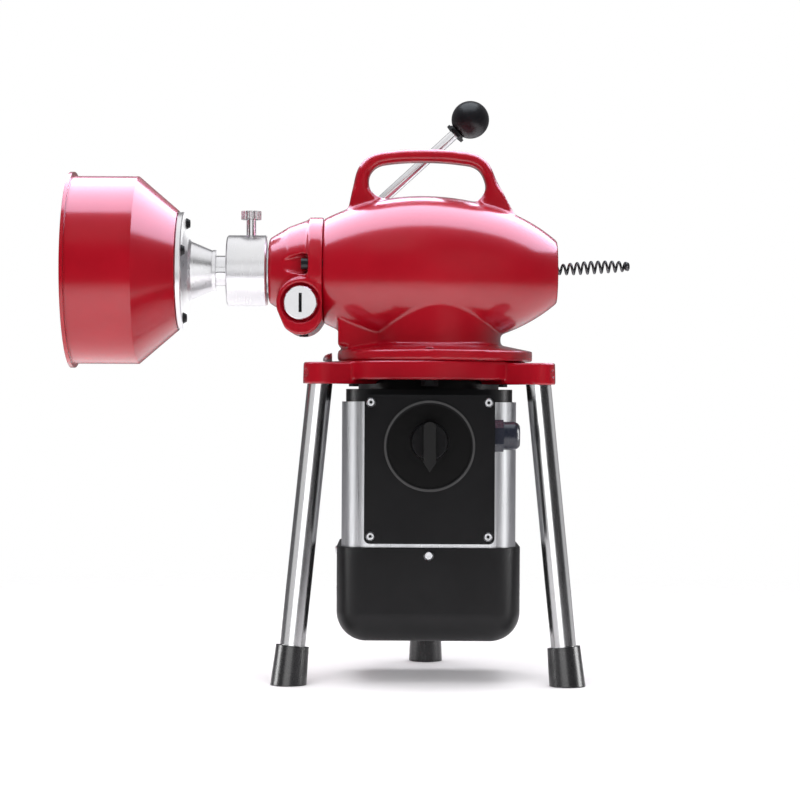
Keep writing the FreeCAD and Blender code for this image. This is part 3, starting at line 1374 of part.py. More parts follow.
def lever_set_screw():
    """Slotted screw from below into the pivot boss."""
    x, y = D.pivot_x + 3, -D.boss_front + 12
    low = D.axis_z - D.pivot_drop - D.boss_radius - 8.5
    stem = cylinder("set_screw_stem", 4.0, 20.0, x, y, low)
    slot = block("set_screw_slot", 10.0, 1.4, 2.0, x - 5, y - 0.7, low)
    return cut("lever_set_screw", stem, slot)


def return_spring():
    """Torsion spring coiled round the pivot shaft in the far side of the boss."""
    helix = doc.addObject("Part::Helix", "spring_path")
    bind(helix, Pitch=2.3, Height=11.0, Radius=8.6)
    place(helix, D.pivot_x, D.fork_pocket_half + 1.4, D.axis_z - D.pivot_drop, ALONG_Y)
    section = doc.addObject("Part::Circle", "spring_wire")
    bind(section, Radius=0.9)
    place(section, D.pivot_x + 8.6, D.fork_pocket_half + 1.4, D.axis_z - D.pivot_drop)
    sweep = doc.addObject("Part::Sweep", "return_spring")
    sweep.Sections = [section]
    sweep.Spine = helix
    sweep.Solid = True
    sweep.Frenet = True
    return sweep


def lever_point(along, off):
    """A point of the lever measured from its pivot: along the rod, and off to its upper side."""
    x = D.pivot_x + along * cosine(D.lever_angle) - off * sine(D.lever_angle)
    z = D.axis_z - D.pivot_drop + along * sine(D.lever_angle) + off * cosine(D.lever_angle)
    return x, z


def lever_turn():
    return FreeCAD.Rotation(FreeCAD.Vector(0, 1, 0), 90 - D.lever_angle.value)


def lever_hub():
    """Crank on the far end of the pivot shaft: a hub, a web and the block that holds the rod."""
    pivot_z = D.axis_z - D.pivot_drop
    width = D.hub_back - D.hub_front
    hub = cylinder("lever_hub_round", D.hub_radius, width, D.pivot_x, D.hub_front, pivot_z, ALONG_Y)
    web_y = D.lever_y - D.hub_web_depth / 2
    x, z = lever_point(0, D.lever_offset)
    boss = cylinder("lever_hub_boss", D.hub_web_half, D.hub_web_depth, x, web_y, z, ALONG_Y)
    low_x, low_z = lever_point(-D.hub_web_half, 0)
    web = block("lever_hub_web", D.hub_web_half * 2, D.hub_web_depth, D.lever_offset, low_x, web_y, low_z,
                FreeCAD.Rotation(FreeCAD.Vector(0, 1, 0), -D.lever_angle.value))
    shaft_hole = cylinder("lever_hub_bore", D.pivot_radius, width - 4, D.pivot_x, D.hub_front, pivot_z,
                          ALONG_Y)
    rod_x, rod_z = lever_point(-D.rod_seat, D.lever_offset)
    rod_hole = cylinder("lever_hub_rod_hole", D.rod_radius, D.rod_seat * 10, rod_x, D.lever_y, rod_z,
                        lever_turn())
    return cut("lever_hub", fuse("lever_hub_solid", hub, boss, web), shaft_hole, rod_hole)


def lever_rod():
    x, z = lever_point(-D.rod_seat, D.lever_offset)
    return cylinder("lever_rod", D.rod_radius, D.rod_length + D.rod_seat, x, D.lever_y, z, lever_turn())


def knob_nut():
    """Jam nut under the ball, with its washer face."""
    start = D.ball_reach - D.ball_radius + 1.0 - D.jam_nut_thick
    x, z = lever_point(start, D.lever_offset)
    nut = hexagon("jam_nut_blank", D.jam_nut_width, D.jam_nut_thick - 1, x, D.lever_y, z, lever_turn())
    x_high, z_high = lever_point(start + D.jam_nut_thick - 1, D.lever_offset)
    washer = cylinder("jam_nut_washer", D.jam_nut_width / 2 - 0.5, 1, x_high, D.lever_y, z_high, lever_turn())
    bore = cylinder("jam_nut_bore", D.rod_radius, D.jam_nut_thick, x, D.lever_y, z, lever_turn())
    return cut("knob_nut", fuse("jam_nut_solid", nut, washer), bore)


def ball_knob():
    x, z = lever_point(D.ball_reach, D.lever_offset)
    sphere = ball("ball_blank", D.ball_radius, x, D.lever_y, z)
    low_x, low_z = lever_point(D.ball_reach - D.ball_radius - 2, D.lever_offset)
    flat = cylinder("ball_flat", 12.0, 3.0, low_x, D.lever_y, low_z, lever_turn())
    hole = cylinder("ball_hole", D.rod_radius, D.rod_length - D.ball_reach + D.ball_radius + 2, low_x,
                    D.lever_y, low_z, lever_turn())
    return cut("ball_knob", sphere, flat, hole)


# ---------------------------------------------------------------- drum and cable

def drum_shell():
    """Open drum: floor, cone, cylinder and a small outward lip at its mouth."""
    wall = D.drum_wall
    slope = 1.1
    shell = turned("drum_shell_blank", [
        (D.drum_cone_right - wall, 20.0), (D.drum_cone_right, 20.0),
        (D.drum_cone_right, D.drum_floor_radius), (D.drum_cone_left, D.drum_radius),
        (D.drum_left + D.drum_lip, D.drum_radius), (D.drum_left + D.drum_lip, D.drum_lip_radius),
        (D.drum_left, D.drum_lip_radius), (D.drum_left, D.drum_radius - wall),
        (D.drum_cone_left - wall / 3, D.drum_radius - wall),
        (D.drum_cone_right - wall, D.drum_floor_radius - slope)], z=D.axis_z)
    holes = [cylinder(f"drum_screw_hole_{n}", 3.0, 8.0, D.drum_cone_right - 5, y, z, ALONG_X)
             for n, (y, z) in enumerate(hub_screw_spots())]
    return cut("drum_shell", shell, *holes)


def drum_hub():
    """Flanged hub that carries the drum on its neck tube."""
    right = D.hub_right
    flange = D.hub_flange_right
    left = D.drum_cone_right
    blank = turned("hub_blank", [
        (left, D.neck_tube_radius), (left, D.hub_flange_radius - 1),
        (left + 1, D.hub_flange_radius), (flange - 0.8, D.hub_flange_radius),
        (flange, D.hub_flange_radius - 0.8), (flange, 38.4), (flange + 4.4, 28.8), (flange + 6.8, 26.0),
        (right - 3.1, 18.0), (right - 3.1, 18.6), (right, 18.6), (right, D.neck_tube_radius)], z=D.axis_z)
    holes = [cylinder(f"hub_screw_hole_{n}", 3.0, 10.0, left - 1, y, z, ALONG_X)
             for n, (y, z) in enumerate(hub_screw_spots())]
    return cut("drum_hub", blank, *holes)


def hub_screw_spots():
    return [ring_spot(D.hub_screw_circle, angle) for angle in (160, 70, -20, 250)]


def drum_hub_screws():
    """Button-head screws through the hub's flange and the drum's floor, each with its nut."""
    screws = []
    for n, (y, z) in enumerate(hub_screw_spots()):
        face = D.hub_flange_right
        head = cone(f"hub_screw_head_{n}", 5.2, 3.4, 3.3, face, y, z, ALONG_X)
        socket = hexagon(f"hub_screw_socket_{n}", 4.0, 2.5, face + 1.2, y, z, ALONG_X)
        length = D.hub_flange_right - D.drum_cone_right + D.drum_wall + 6
        shank = cylinder(f"hub_screw_shank_{n}", 3.0, length, face - length, y, z, ALONG_X)
        nut = hexagon(f"hub_screw_nut_{n}", 10.0, 4.0, D.drum_cone_right - D.drum_wall - 4, y, z, ALONG_X)
        screws.append(cut(f"hub_screw_{n}", fuse(f"hub_screw_blank_{n}", head, shank, nut), socket))
    return group("drum_hub_screws", screws)


def drum_neck_tube():
    """Tube from the hub through the collar and the jaws, with a groove for the thumb screw's tip."""
    groove = 4.9
    low = D.neck_tube_radius - 2.2
    return turned("drum_neck_tube", [
        (D.drum_cone_right, D.neck_tube_bore), (D.drum_cone_right, D.neck_tube_radius),
        (D.thumb_x - groove, D.neck_tube_radius), (D.thumb_x - groove, low),
        (D.thumb_x + groove, low), (D.thumb_x + groove, D.neck_tube_radius),
        (D.neck_tube_right, D.neck_tube_radius), (D.neck_tube_right, D.neck_tube_bore)], z=D.axis_z)


def cable_coil():
    """The outer shape of the cable's turns where they lie against the drum's wall."""
    edge = D.cable_radius
    left, right = D.coil_left, D.coil_right
    inner, outer = D.coil_inner_radius, D.coil_outer_radius
    return turned("cable_coil", [
        (left + edge, inner), (left, inner + edge, 5.0), (left, outer - edge),
        (left + edge, outer, 5.0), (right - edge, outer), (right, outer - edge, 5.0),
        (right, inner + edge), (right - edge, inner, 5.0)], z=D.axis_z)


def drain_cable():
    """Round cable through the spindle, with an open coil of spring wire as its auger end."""
    straight = cylinder("cable_straight", D.cable_radius, D.auger_left - D.cable_left, D.cable_left, 0,
                        D.axis_z, ALONG_X)
    ferrule = cylinder("cable_ferrule", D.auger_radius + 1, 5.0, D.auger_left - 2, 0, D.axis_z, ALONG_X)
    helix = doc.addObject("Part::Helix", "auger_path")
    bind(helix, Pitch=D.auger_pitch, Height=D.auger_length, Radius=D.auger_radius - 0.6)
    place(helix, D.auger_left, 0, D.axis_z, ALONG_X)
    section = doc.addObject("Part::Circle", "auger_wire")
    bind(section, Radius=D.auger_wire_radius)
    place(section, D.auger_left, 0, D.axis_z - D.auger_radius + 0.6, ALONG_Y)
    sweep = doc.addObject("Part::Sweep", "auger")
    sweep.Sections = [section]
    sweep.Spine = helix
    sweep.Solid = True
    sweep.Frenet = True
    return fuse("drain_cable", straight, ferrule, sweep)


# ---------------------------------------------------------------- build, check and write

def build_nodes():
    spindle_bearings, spindle_bearing_inners = spindle_bearing_nodes()
    motor_bearings, motor_bearing_inners = motor_bearing_nodes()
    nodes = [body_casting(), nose_casting(), nose_screws(), tripod_plate(), plate_screws(), lock_screw(),
             leg_set_screws(), motor_shell(), motor_top_shield(), motor_bottom_shield(), tie_bolts(),
             stator_core(), stator_windings(), rotor_core(), motor_shaft(), cooling_fan(), fan_cover(),
             fan_cover_screws(), switch_box(), switch_lid(), lid_screws(), switch_knob(), switch_block(),
             run_capacitor(), gland_body(), gland_nut(), guide_collar(), thumb_screw_stem(),
             thumb_screw_head(), spindle(), crown_gear(), drive_pinion(), spindle_bearings,
             spindle_bearing_inners, motor_bearings, motor_bearing_inners, clutch_sleeve(), lever_fork(),
             lever_shaft(), lever_set_screw(), return_spring(), lever_hub(), lever_rod(), knob_nut(),
             ball_knob(), drum_shell(), drum_hub(), drum_hub_screws(), drum_neck_tube(), cable_coil(),
             drain_cable()]
    nodes += [leg(side) for side in LEG_ANGLES]
    nodes += [foot(side) for side in LEG_ANGLES]
    nodes += [chuck_jaw(number) for number in (1, 2, 3)]
    return nodes


def check_document(nodes):
    for item in doc.Objects:
        failed = {"Invalid", "Error"} & set(item.State)
        if failed:
            raise RuntimeError(f"{item.Label}: {item.State}")
    for node in nodes:
        if node.Shape.isNull() or not node.Shape.isValid() or not node.Shape.Solids:
            raise RuntimeError(f"{node.Label}: no valid solid")


def write_nodes(nodes):
    os.makedirs("parts", exist_ok=True)
    for node in nodes:
        node.Shape.exportStep(f"parts/{node.Label}.step")


NODES = build_nodes()
doc.recompute()
check_document(NODES)
write_nodes(NODES)
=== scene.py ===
"""Looks of the drain snake machine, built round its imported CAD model. Lengths are in metres."""

import json
import math

import bmesh
import bpy
from mathutils import Matrix, Vector


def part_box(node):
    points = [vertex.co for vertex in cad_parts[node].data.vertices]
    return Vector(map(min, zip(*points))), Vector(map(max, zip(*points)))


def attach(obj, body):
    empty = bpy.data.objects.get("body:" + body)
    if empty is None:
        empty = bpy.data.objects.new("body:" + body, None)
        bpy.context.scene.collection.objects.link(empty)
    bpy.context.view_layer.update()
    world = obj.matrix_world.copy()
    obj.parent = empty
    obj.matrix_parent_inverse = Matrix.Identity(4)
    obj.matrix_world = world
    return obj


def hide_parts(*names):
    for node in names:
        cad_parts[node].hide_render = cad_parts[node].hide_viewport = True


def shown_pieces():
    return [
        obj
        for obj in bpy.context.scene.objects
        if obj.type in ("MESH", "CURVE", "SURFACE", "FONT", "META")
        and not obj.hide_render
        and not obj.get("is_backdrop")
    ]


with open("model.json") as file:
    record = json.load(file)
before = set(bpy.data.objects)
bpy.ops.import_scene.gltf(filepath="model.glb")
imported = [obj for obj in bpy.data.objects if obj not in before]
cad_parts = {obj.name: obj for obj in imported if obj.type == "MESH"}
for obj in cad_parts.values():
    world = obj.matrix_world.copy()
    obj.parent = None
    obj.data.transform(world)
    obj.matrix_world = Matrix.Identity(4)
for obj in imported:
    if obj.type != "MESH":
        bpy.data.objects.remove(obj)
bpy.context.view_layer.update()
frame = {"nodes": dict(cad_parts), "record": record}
scene = bpy.context.scene
nodes = frame["nodes"]

# ---------------------------------------------------------------- camera, stage and light

CAMERA_PLACE = (0.0450, -2.2647, 0.2485)
CAMERA_LENS = 112.5
CAMERA_ROLL = math.radians(0.3)
SENSOR = 36.0

camera_data = bpy.data.cameras.new("camera")
camera_data.lens = CAMERA_LENS
camera_data.sensor_width = SENSOR
camera_data.clip_start = 0.05
camera = bpy.data.objects.new("camera", camera_data)
scene.collection.objects.link(camera)
camera.matrix_world = (Matrix.Translation(CAMERA_PLACE) @ Matrix.Rotation(math.radians(90), 4, "X")
                       @ Matrix.Rotation(CAMERA_ROLL, 4, "Z"))
scene.camera = camera
scene.view_settings.view_transform = "Standard"

DRUM_LOW, DRUM_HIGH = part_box("drum_shell")
AXIS_Y = (DRUM_LOW.y + DRUM_HIGH.y) / 2
AXIS_Z = (DRUM_LOW.z + DRUM_HIGH.z) / 2


def node_tree(owner):
    """The emptied node tree of a material or the world."""
    owner.use_nodes = True
    tree = owner.node_tree
    tree.nodes.clear()
    return tree


def add(tree, kind, **values):
    """A new node; a value is set on the node itself, or else on the input socket of that name."""
    node = tree.nodes.new(kind)
    for name, value in values.items():
        if hasattr(node, name):
            setattr(node, name, value)
        else:
            node.inputs[name.replace("_", " ")].default_value = value
    return node


def build_world():
    """A pale room: white to the camera, dim in front so that gloss has shape, brighter at the back."""
    world = bpy.data.worlds.new("room")
    scene.world = world
    tree = node_tree(world)
    link = tree.links.new
    place = add(tree, "ShaderNodeTexCoord")
    parts = add(tree, "ShaderNodeSeparateXYZ")
    link(place.outputs["Generated"], parts.inputs[0])
    back = add(tree, "ShaderNodeMapRange", interpolation_type="SMOOTHSTEP",
               From_Min=-0.45, From_Max=0.30, To_Min=0.06, To_Max=0.22)
    link(parts.outputs["Y"], back.inputs["Value"])
    room = add(tree, "ShaderNodeBackground", Color=(0.98, 0.96, 1.0, 1.0))
    link(back.outputs["Result"], room.inputs["Strength"])
    white = add(tree, "ShaderNodeBackground", Color=(1.0, 1.0, 1.0, 1.0), Strength=1.0)
    ray = add(tree, "ShaderNodeLightPath")
    mix = add(tree, "ShaderNodeMixShader")
    link(ray.outputs["Is Camera Ray"], mix.inputs[0])
    link(room.outputs[0], mix.inputs[1])
    link(white.outputs[0], mix.inputs[2])
    link(mix.outputs[0], add(tree, "ShaderNodeOutputWorld").inputs["Surface"])


def area_light(name, place, target, size, power, glossy=True, diffuse=True, only=None, tint=(1.0, 1.0, 1.0)):
    """A rectangular softbox at a place, facing a target; it lights only the pieces given, or else all."""
    data = bpy.data.lights.new(name, "AREA")
    data.shape = "RECTANGLE"
    data.size, data.size_y = size
    data.energy = power
    data.color = tint
    lamp = bpy.data.objects.new(name, data)
    scene.collection.objects.link(lamp)
    lamp.location = place
    lamp.rotation_euler = (Vector(target) - Vector(place)).to_track_quat("-Z", "Y").to_euler()
    lamp.visible_camera = False
    lamp.visible_glossy = glossy
    lamp.visible_diffuse = diffuse
    if only:
        group = bpy.data.collections.new(name + "_lights")
        for piece in only:
            group.objects.link(piece)
        lamp.light_linking.receiver_collection = group
    return lamp


def panel_power(size, radiance):
    """The power that gives a panel of this size this radiance."""
    return radiance * math.pi * size[0] * size[1]


FLOOR_RADIUS = 1.7
FLOOR_Z = -0.0004
FLOOR_FADE = (0.42, 1.45)


def build_floor():
    """A pale floor that fades out into the room."""
    mesh = bpy.data.meshes.new("floor")
    form = bmesh.new()
    bmesh.ops.create_circle(form, cap_ends=True, radius=FLOOR_RADIUS, segments=96)
    form.to_mesh(mesh)
    form.free()
    floor = bpy.data.objects.new("floor", mesh)
    scene.collection.objects.link(floor)
    floor.location.z = FLOOR_Z
    pale = bpy.data.materials.new("pale_floor")
    tree = node_tree(pale)
    link = tree.links.new
    place = add(tree, "ShaderNodeTexCoord")
    length = add(tree, "ShaderNodeVectorMath", operation="LENGTH")
    link(place.outputs["Object"], length.inputs[0])
    fade = add(tree, "ShaderNodeMapRange", interpolation_type="SMOOTHERSTEP", From_Min=FLOOR_FADE[0],
               From_Max=FLOOR_FADE[1])
    link(length.outputs["Value"], fade.inputs["Value"])
    grain = add(tree, "ShaderNodeTexNoise", Scale=60.0, Detail=3.0)
    link(place.outputs["Object"], grain.inputs["Vector"])
    tone = add(tree, "ShaderNodeMapRange", To_Min=0.90, To_Max=0.93)
    link(grain.outputs["Fac"], tone.inputs["Value"])
    surface = add(tree, "ShaderNodeBsdfPrincipled", Roughness=0.5)
    surface.inputs["Specular IOR Level"].default_value = 0.2
    tint = add(tree, "ShaderNodeVectorMath", operation="SCALE")
    tint.inputs[0].default_value = (0.995, 0.975, 1.0)
    link(tone.outputs["Result"], tint.inputs["Scale"])
    link(tint.outputs["Vector"], surface.inputs["Base Color"])
    clear = add(tree, "ShaderNodeBsdfTransparent")
    mix = add(tree, "ShaderNodeMixShader")
    link(fade.outputs["Result"], mix.inputs[0])
    link(surface.outputs[0], mix.inputs[1])
    link(clear.outputs[0], mix.inputs[2])
    link(mix.outputs[0], add(tree, "ShaderNodeOutputMaterial").inputs["Surface"])
    mesh.materials.append(pale)
    floor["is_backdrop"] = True
    return floor


ground = build_floor()

# ---------------------------------------------------------------- materials


def finish(name, colour, second=None, metal=0.0, rough=(0.3, 0.4), grain=(900.0, 900.0, 900.0),
           tone_grain=(22.0, 22.0, 22.0), bump=0.1, depth=0.0002, edge=0.0004, coat=0.0, coat_rough=0.03,
           coat_bump=0.0, around=None, anisotropic=0.0, specular=0.5):
    """A procedural material.

    colour and second are mixed by a soft noise, which is as fine along X, Y and Z as tone_grain says. rough
    is the range that a finer noise covers, which is as fine as grain says, and bump and depth are the
    strength and height of its relief. edge is how far sharp edges look rounded over. coat is the weight of
    a clear coat with a roughness and a relief of its own. around = (axis, pitch) adds the fine rings that a
    lathe leaves round that axis."""
    made = bpy.data.materials.new(name)
    tree = node_tree(made)
    link = tree.links.new
    place = add(tree, "ShaderNodeTexCoord")
    surface = add(tree, "ShaderNodeBsdfPrincipled", Metallic=metal)
    surface.inputs["Coat Weight"].default_value = coat
    surface.inputs["Coat Roughness"].default_value = coat_rough
    surface.inputs["Anisotropic"].default_value = anisotropic
    surface.inputs["Specular IOR Level"].default_value = specular
    stretch = add(tree, "ShaderNodeMapping")
    stretch.inputs["Scale"].default_value = grain
    link(place.outputs["Object"], stretch.inputs["Vector"])
    fine = add(tree, "ShaderNodeTexNoise", Scale=1.0, Detail=4.0, Roughness=0.6)
    link(stretch.outputs["Vector"], fine.inputs["Vector"])
    broad_scale = add(tree, "ShaderNodeMapping")
    broad_scale.inputs["Scale"].default_value = tone_grain
    link(place.outputs["Object"], broad_scale.inputs["Vector"])
    broad = add(tree, "ShaderNodeTexNoise", Scale=1.0, Detail=3.0, Roughness=0.55)
    link(broad_scale.outputs["Vector"], broad.inputs["Vector"])
    contrast = add(tree, "ShaderNodeMapRange", From_Min=0.35, From_Max=0.65)
    link(broad.outputs["Fac"], contrast.inputs["Value"])
    tones = add(tree, "ShaderNodeMix", data_type="RGBA")
    tones.inputs[6].default_value = (*colour, 1.0)
    tones.inputs[7].default_value = (*(second or colour), 1.0)
    link(contrast.outputs["Result"], tones.inputs[0])
    link(tones.outputs[2], surface.inputs["Base Color"])
    shine = add(tree, "ShaderNodeMapRange", From_Min=0.3, From_Max=0.7, To_Min=rough[0], To_Max=rough[1])
    link(fine.outputs["Fac"], shine.inputs["Value"])
    link(shine.outputs["Result"], surface.inputs["Roughness"])
    rounded = add(tree, "ShaderNodeBevel", samples=4, Radius=edge)
    relief = add(tree, "ShaderNodeBump", Strength=bump, Distance=depth)
    link(fine.outputs["Fac"], relief.inputs["Height"])
    link(rounded.outputs["Normal"], relief.inputs["Normal"])
    normal = relief
    if around:
        axis, pitch = around
        rings = add(tree, "ShaderNodeTexWave", wave_type="BANDS", bands_direction=axis, Scale=pitch,
                    Distortion=1.2, Detail=3.0, Detail_Scale=2.0)
        link(place.outputs["Object"], rings.inputs["Vector"])
        turned = add(tree, "ShaderNodeBump", Strength=bump, Distance=depth)
        link(rings.outputs["Fac"], turned.inputs["Height"])
        link(relief.outputs["Normal"], turned.inputs["Normal"])
        normal = turned
    link(normal.outputs["Normal"], surface.inputs["Normal"])
    if coat:
        skin = add(tree, "ShaderNodeTexNoise", Scale=420.0, Detail=1.0)
        link(place.outputs["Object"], skin.inputs["Vector"])
        peel = add(tree, "ShaderNodeBump", Strength=coat_bump, Distance=0.0002)
        link(skin.outputs["Fac"], peel.inputs["Height"])
        link(rounded.outputs["Normal"], peel.inputs["Normal"])
        link(peel.outputs["Normal"], surface.inputs["Coat Normal"])
    link(surface.outputs[0], add(tree, "ShaderNodeOutputMaterial").inputs["Surface"])
    return made


RED = (0.42, 0.0035, 0.014)
RED_DEEP = (0.38, 0.0028, 0.012)
finishes = {
    "red_paint": finish("red_enamel", RED, RED_DEEP, rough=(0.32, 0.42), grain=(380.0,) * 3, bump=0.22,
                        depth=0.0003, edge=0.0012, coat=1.0, coat_rough=0.16, coat_bump=0.08,
                        specular=0.12),
    "drum_red": finish("drum_enamel", RED, RED_DEEP, rough=(0.30, 0.38), grain=(500.0, 160.0, 160.0),
                       bump=0.10, depth=0.0002, edge=0.0010, coat=1.0, coat_rough=0.15, coat_bump=0.05,
                       specular=0.12),
    "black_paint": finish("black_enamel", (0.005, 0.005, 0.0055), (0.007, 0.007, 0.0075),
                          rough=(0.36, 0.48), grain=(1400.0,) * 3, bump=0.25, depth=0.0001, edge=0.0010,
                          specular=0.25),
    "bare_aluminium": finish("extruded_aluminium", (0.72, 0.73, 0.745), (0.63, 0.64, 0.66), metal=1.0,
                             rough=(0.26, 0.38), grain=(900.0, 900.0, 14.0), tone_grain=(70.0, 70.0, 3.0),
                             bump=0.12, depth=0.0001, edge=0.0004, anisotropic=0.3),
    "turned_aluminium": finish("turned_aluminium", (0.74, 0.74, 0.75), (0.68, 0.68, 0.70), metal=1.0,
                               rough=(0.26, 0.34), grain=(1500.0, 90.0, 90.0), bump=0.03, depth=0.0001,
                               edge=0.0006, around=("X", 420.0)),
    "steel_tube": finish("polished_tube", (0.42, 0.42, 0.425), (0.39, 0.39, 0.395), metal=1.0,
                         rough=(0.21, 0.26), grain=(260.0, 260.0, 40.0), tone_grain=(60.0, 60.0, 3.0),
                         bump=0.015, depth=0.0001, edge=0.0005),
    "bright_steel": finish("bright_steel", (0.74, 0.74, 0.75), (0.66, 0.66, 0.68), metal=1.0,
                           rough=(0.14, 0.24), grain=(700.0,) * 3, bump=0.06, depth=0.0001, edge=0.0005),
    "zinc_steel": finish("zinc_plate", (0.66, 0.67, 0.69), (0.55, 0.56, 0.57), metal=1.0,
                         rough=(0.24, 0.38), grain=(1600.0,) * 3, tone_grain=(260.0,) * 3, bump=0.15,
                         depth=0.0001, edge=0.0003),
    "dark_steel": finish("black_oxide", (0.010, 0.010, 0.011), (0.016, 0.016, 0.018), metal=0.2,
                         rough=(0.30, 0.45), grain=(1600.0,) * 3, tone_grain=(300.0,) * 3, bump=0.15,
                         depth=0.0001, edge=0.0004),
    "spring_steel": finish("spring_wire", (0.17, 0.17, 0.175), (0.09, 0.09, 0.095), metal=1.0,
                           rough=(0.26, 0.42), grain=(900.0,) * 3, tone_grain=(160.0,) * 3, bump=0.15,
                           depth=0.0001, edge=0.0002),
    "gear_steel": finish("machined_steel", (0.46, 0.45, 0.43), (0.36, 0.35, 0.34), metal=1.0,
                         rough=(0.26, 0.40), grain=(1200.0,) * 3, tone_grain=(120.0,) * 3, bump=0.12,
                         depth=0.0001, edge=0.0003, around=("X", 300.0)),
    "black_plastic": finish("moulded_black", (0.0045, 0.0045, 0.005), (0.006, 0.006, 0.0065),
                            rough=(0.34, 0.48), grain=(2200.0,) * 3, bump=0.35, depth=0.0001, edge=0.0008,
                            specular=0.25),
    "knob_black": finish("phenolic_black", (0.009, 0.009, 0.011), (0.012, 0.012, 0.014), rough=(0.30, 0.38),
                         grain=(900.0,) * 3, bump=0.06, depth=0.0001, edge=0.0004),
    "gland_plastic": finish("nylon_black", (0.014, 0.016, 0.026), (0.018, 0.021, 0.034), rough=(0.22, 0.34),
                            grain=(1500.0,) * 3, bump=0.12, depth=0.0001, edge=0.0005),
    "grey_plastic": finish("moulded_grey", (0.28, 0.28, 0.29), (0.33, 0.33, 0.34), rough=(0.40, 0.52),
                           grain=(1800.0,) * 3, bump=0.25, depth=0.0001, edge=0.0004),
    "black_rubber": finish("rubber", (0.008, 0.008, 0.009), (0.010, 0.010, 0.011), rough=(0.24, 0.32),
                           grain=(1400.0,) * 3, tone_grain=(90.0,) * 3, bump=0.10, depth=0.0001,
                           edge=0.0012),
    "copper_winding": finish("enamelled_copper", (0.55, 0.20, 0.07), (0.40, 0.12, 0.04), metal=1.0,
                             rough=(0.25, 0.40), grain=(300.0,) * 3, bump=0.4, depth=0.0004, edge=0.0003,
                             around=("Z", 700.0)),
}


def tone_where(material, mask, colour):
    """Paints a colour over a finish where a mask is 1. The mask is built in the finish's node tree from the
    object's own coordinates."""
    tree = material.node_tree
    surface = tree.nodes["Principled BSDF"]
    under = surface.inputs["Base Color"].links[0].from_socket
    over = add(tree, "ShaderNodeMix", data_type="RGBA")
    over.inputs[7].default_value = (*colour, 1.0)
    tree.links.new(under, over.inputs[6])
    tree.links.new(mask, over.inputs[0])
    tree.links.new(over.outputs[2], surface.inputs["Base Color"])


def both(tree, one, other):
    """A mask that is 1 where two masks are."""
    product = add(tree, "ShaderNodeMath", operation="MULTIPLY")
    tree.links.new(one, product.inputs[0])
    tree.links.new(other, product.inputs[1])
    return product.outputs[0]


def band(tree, value, low, high, soft=0.0002):
    """A mask that is 1 where a value lies between low and high."""
    rise = add(tree, "ShaderNodeMapRange", From_Min=low - soft, From_Max=low + soft)
    fall = add(tree, "ShaderNodeMapRange", From_Min=high - soft, From_Max=high + soft, To_Min=1.0,
               To_Max=0.0)
    tree.links.new(value, rise.inputs["Value"])
    tree.links.new(value, fall.inputs["Value"])
    return both(tree, rise.outputs["Result"], fall.outputs["Result"])


def distance_in_front(tree, x, z):
    """How far a point is from the line through (x, z) that runs from front to back."""
    place = add(tree, "ShaderNodeTexCoord")
    offset = add(tree, "ShaderNodeVectorMath", operation="SUBTRACT")
    offset.inputs[1].default_value = (x, 0.0, z)
    flat = add(tree, "ShaderNodeVectorMath", operation="MULTIPLY")
    flat.inputs[1].default_value = (1.0, 0.0, 1.0)
    length = add(tree, "ShaderNodeVectorMath", operation="LENGTH")
    tree.links.new(place.outputs["Object"], offset.inputs[0])
    tree.links.new(offset.outputs["Vector"], flat.inputs[0])
    tree.links.new(flat.outputs["Vector"], length.inputs[0])
    return length.outputs["Value"]


def coordinate(tree, axis):
    """A point's own X, Y or Z."""
    place = add(tree, "ShaderNodeTexCoord")
    parts = add(tree, "ShaderNodeSeparateXYZ")
    tree.links.new(place.outputs["Object"], parts.inputs[0])
    return parts.outputs[axis]


def away(tree, value, centre):
    """How far a value is from a centre, on either side."""
    offset = add(tree, "ShaderNodeMath", operation="SUBTRACT")
    offset.inputs[1].default_value = centre
    tree.links.new(value, offset.inputs[0])
    size = add(tree, "ShaderNodeMath", operation="ABSOLUTE")
    tree.links.new(offset.outputs[0], size.inputs[0])
    return size.outputs[0]


def within(tree, value, centre, reach):
    """A mask that is 1 where a value is within a reach of a centre."""
    return band(tree, away(tree, value, centre), -1.0, reach)


def own_finish(node, slot, name):
    """A copy of a slot's finish for one node, to be toned in places."""
    made = finishes[slot].copy()
    made.name = name
    nodes[node].data.materials[0] = made
    return made


slot_of = {entry["node"]: entry["material_slot"] for entry in frame["record"]["subparts"]}


def paint(piece, slot):
    """The finish of a record slot on a whole piece."""
    piece.data.materials.clear()
    piece.data.materials.append(finishes[slot])


for name, node in nodes.items():
    paint(node, slot_of[name])
# The set screws that hold the legs are painted over with the plate.
paint(nodes["leg_set_screws"], "red_paint")

# The bezel's rim is a lighter grey than the lid and its dish is darker. The knob's grip is lighter than
# its base.
BEZEL_RADIUS = 0.039
BEZEL_Z = 0.209
RIM_INSIDE = 0.0018
RIM_OUTSIDE = 0.0002
DISH_INSIDE = 0.0030
GRIP_DEPTH = 0.012
RIM_GREY = (0.055,) * 3
DISH_BLACK = (0.0016,) * 3
GRIP_BLACK = (0.013,) * 3
knob_low, knob_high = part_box("switch_knob")
lid_finish = own_finish("switch_lid", "black_plastic", "moulded_lid")
lid_tree = lid_finish.node_tree
reach = distance_in_front(lid_tree, (knob_low.x + knob_high.x) / 2, BEZEL_Z)
rim = band(lid_tree, reach, BEZEL_RADIUS - RIM_INSIDE, BEZEL_RADIUS + RIM_OUTSIDE)
tone_where(lid_finish, rim, RIM_GREY)
tone_where(lid_finish, band(lid_tree, reach, -1.0, BEZEL_RADIUS - DISH_INSIDE), DISH_BLACK)
knob_finish = own_finish("switch_knob", "black_plastic", "moulded_knob")
knob_tree = knob_finish.node_tree
tone_where(knob_finish, within(knob_tree, coordinate(knob_tree, "Y"), knob_low.y, GRIP_DEPTH), GRIP_BLACK)

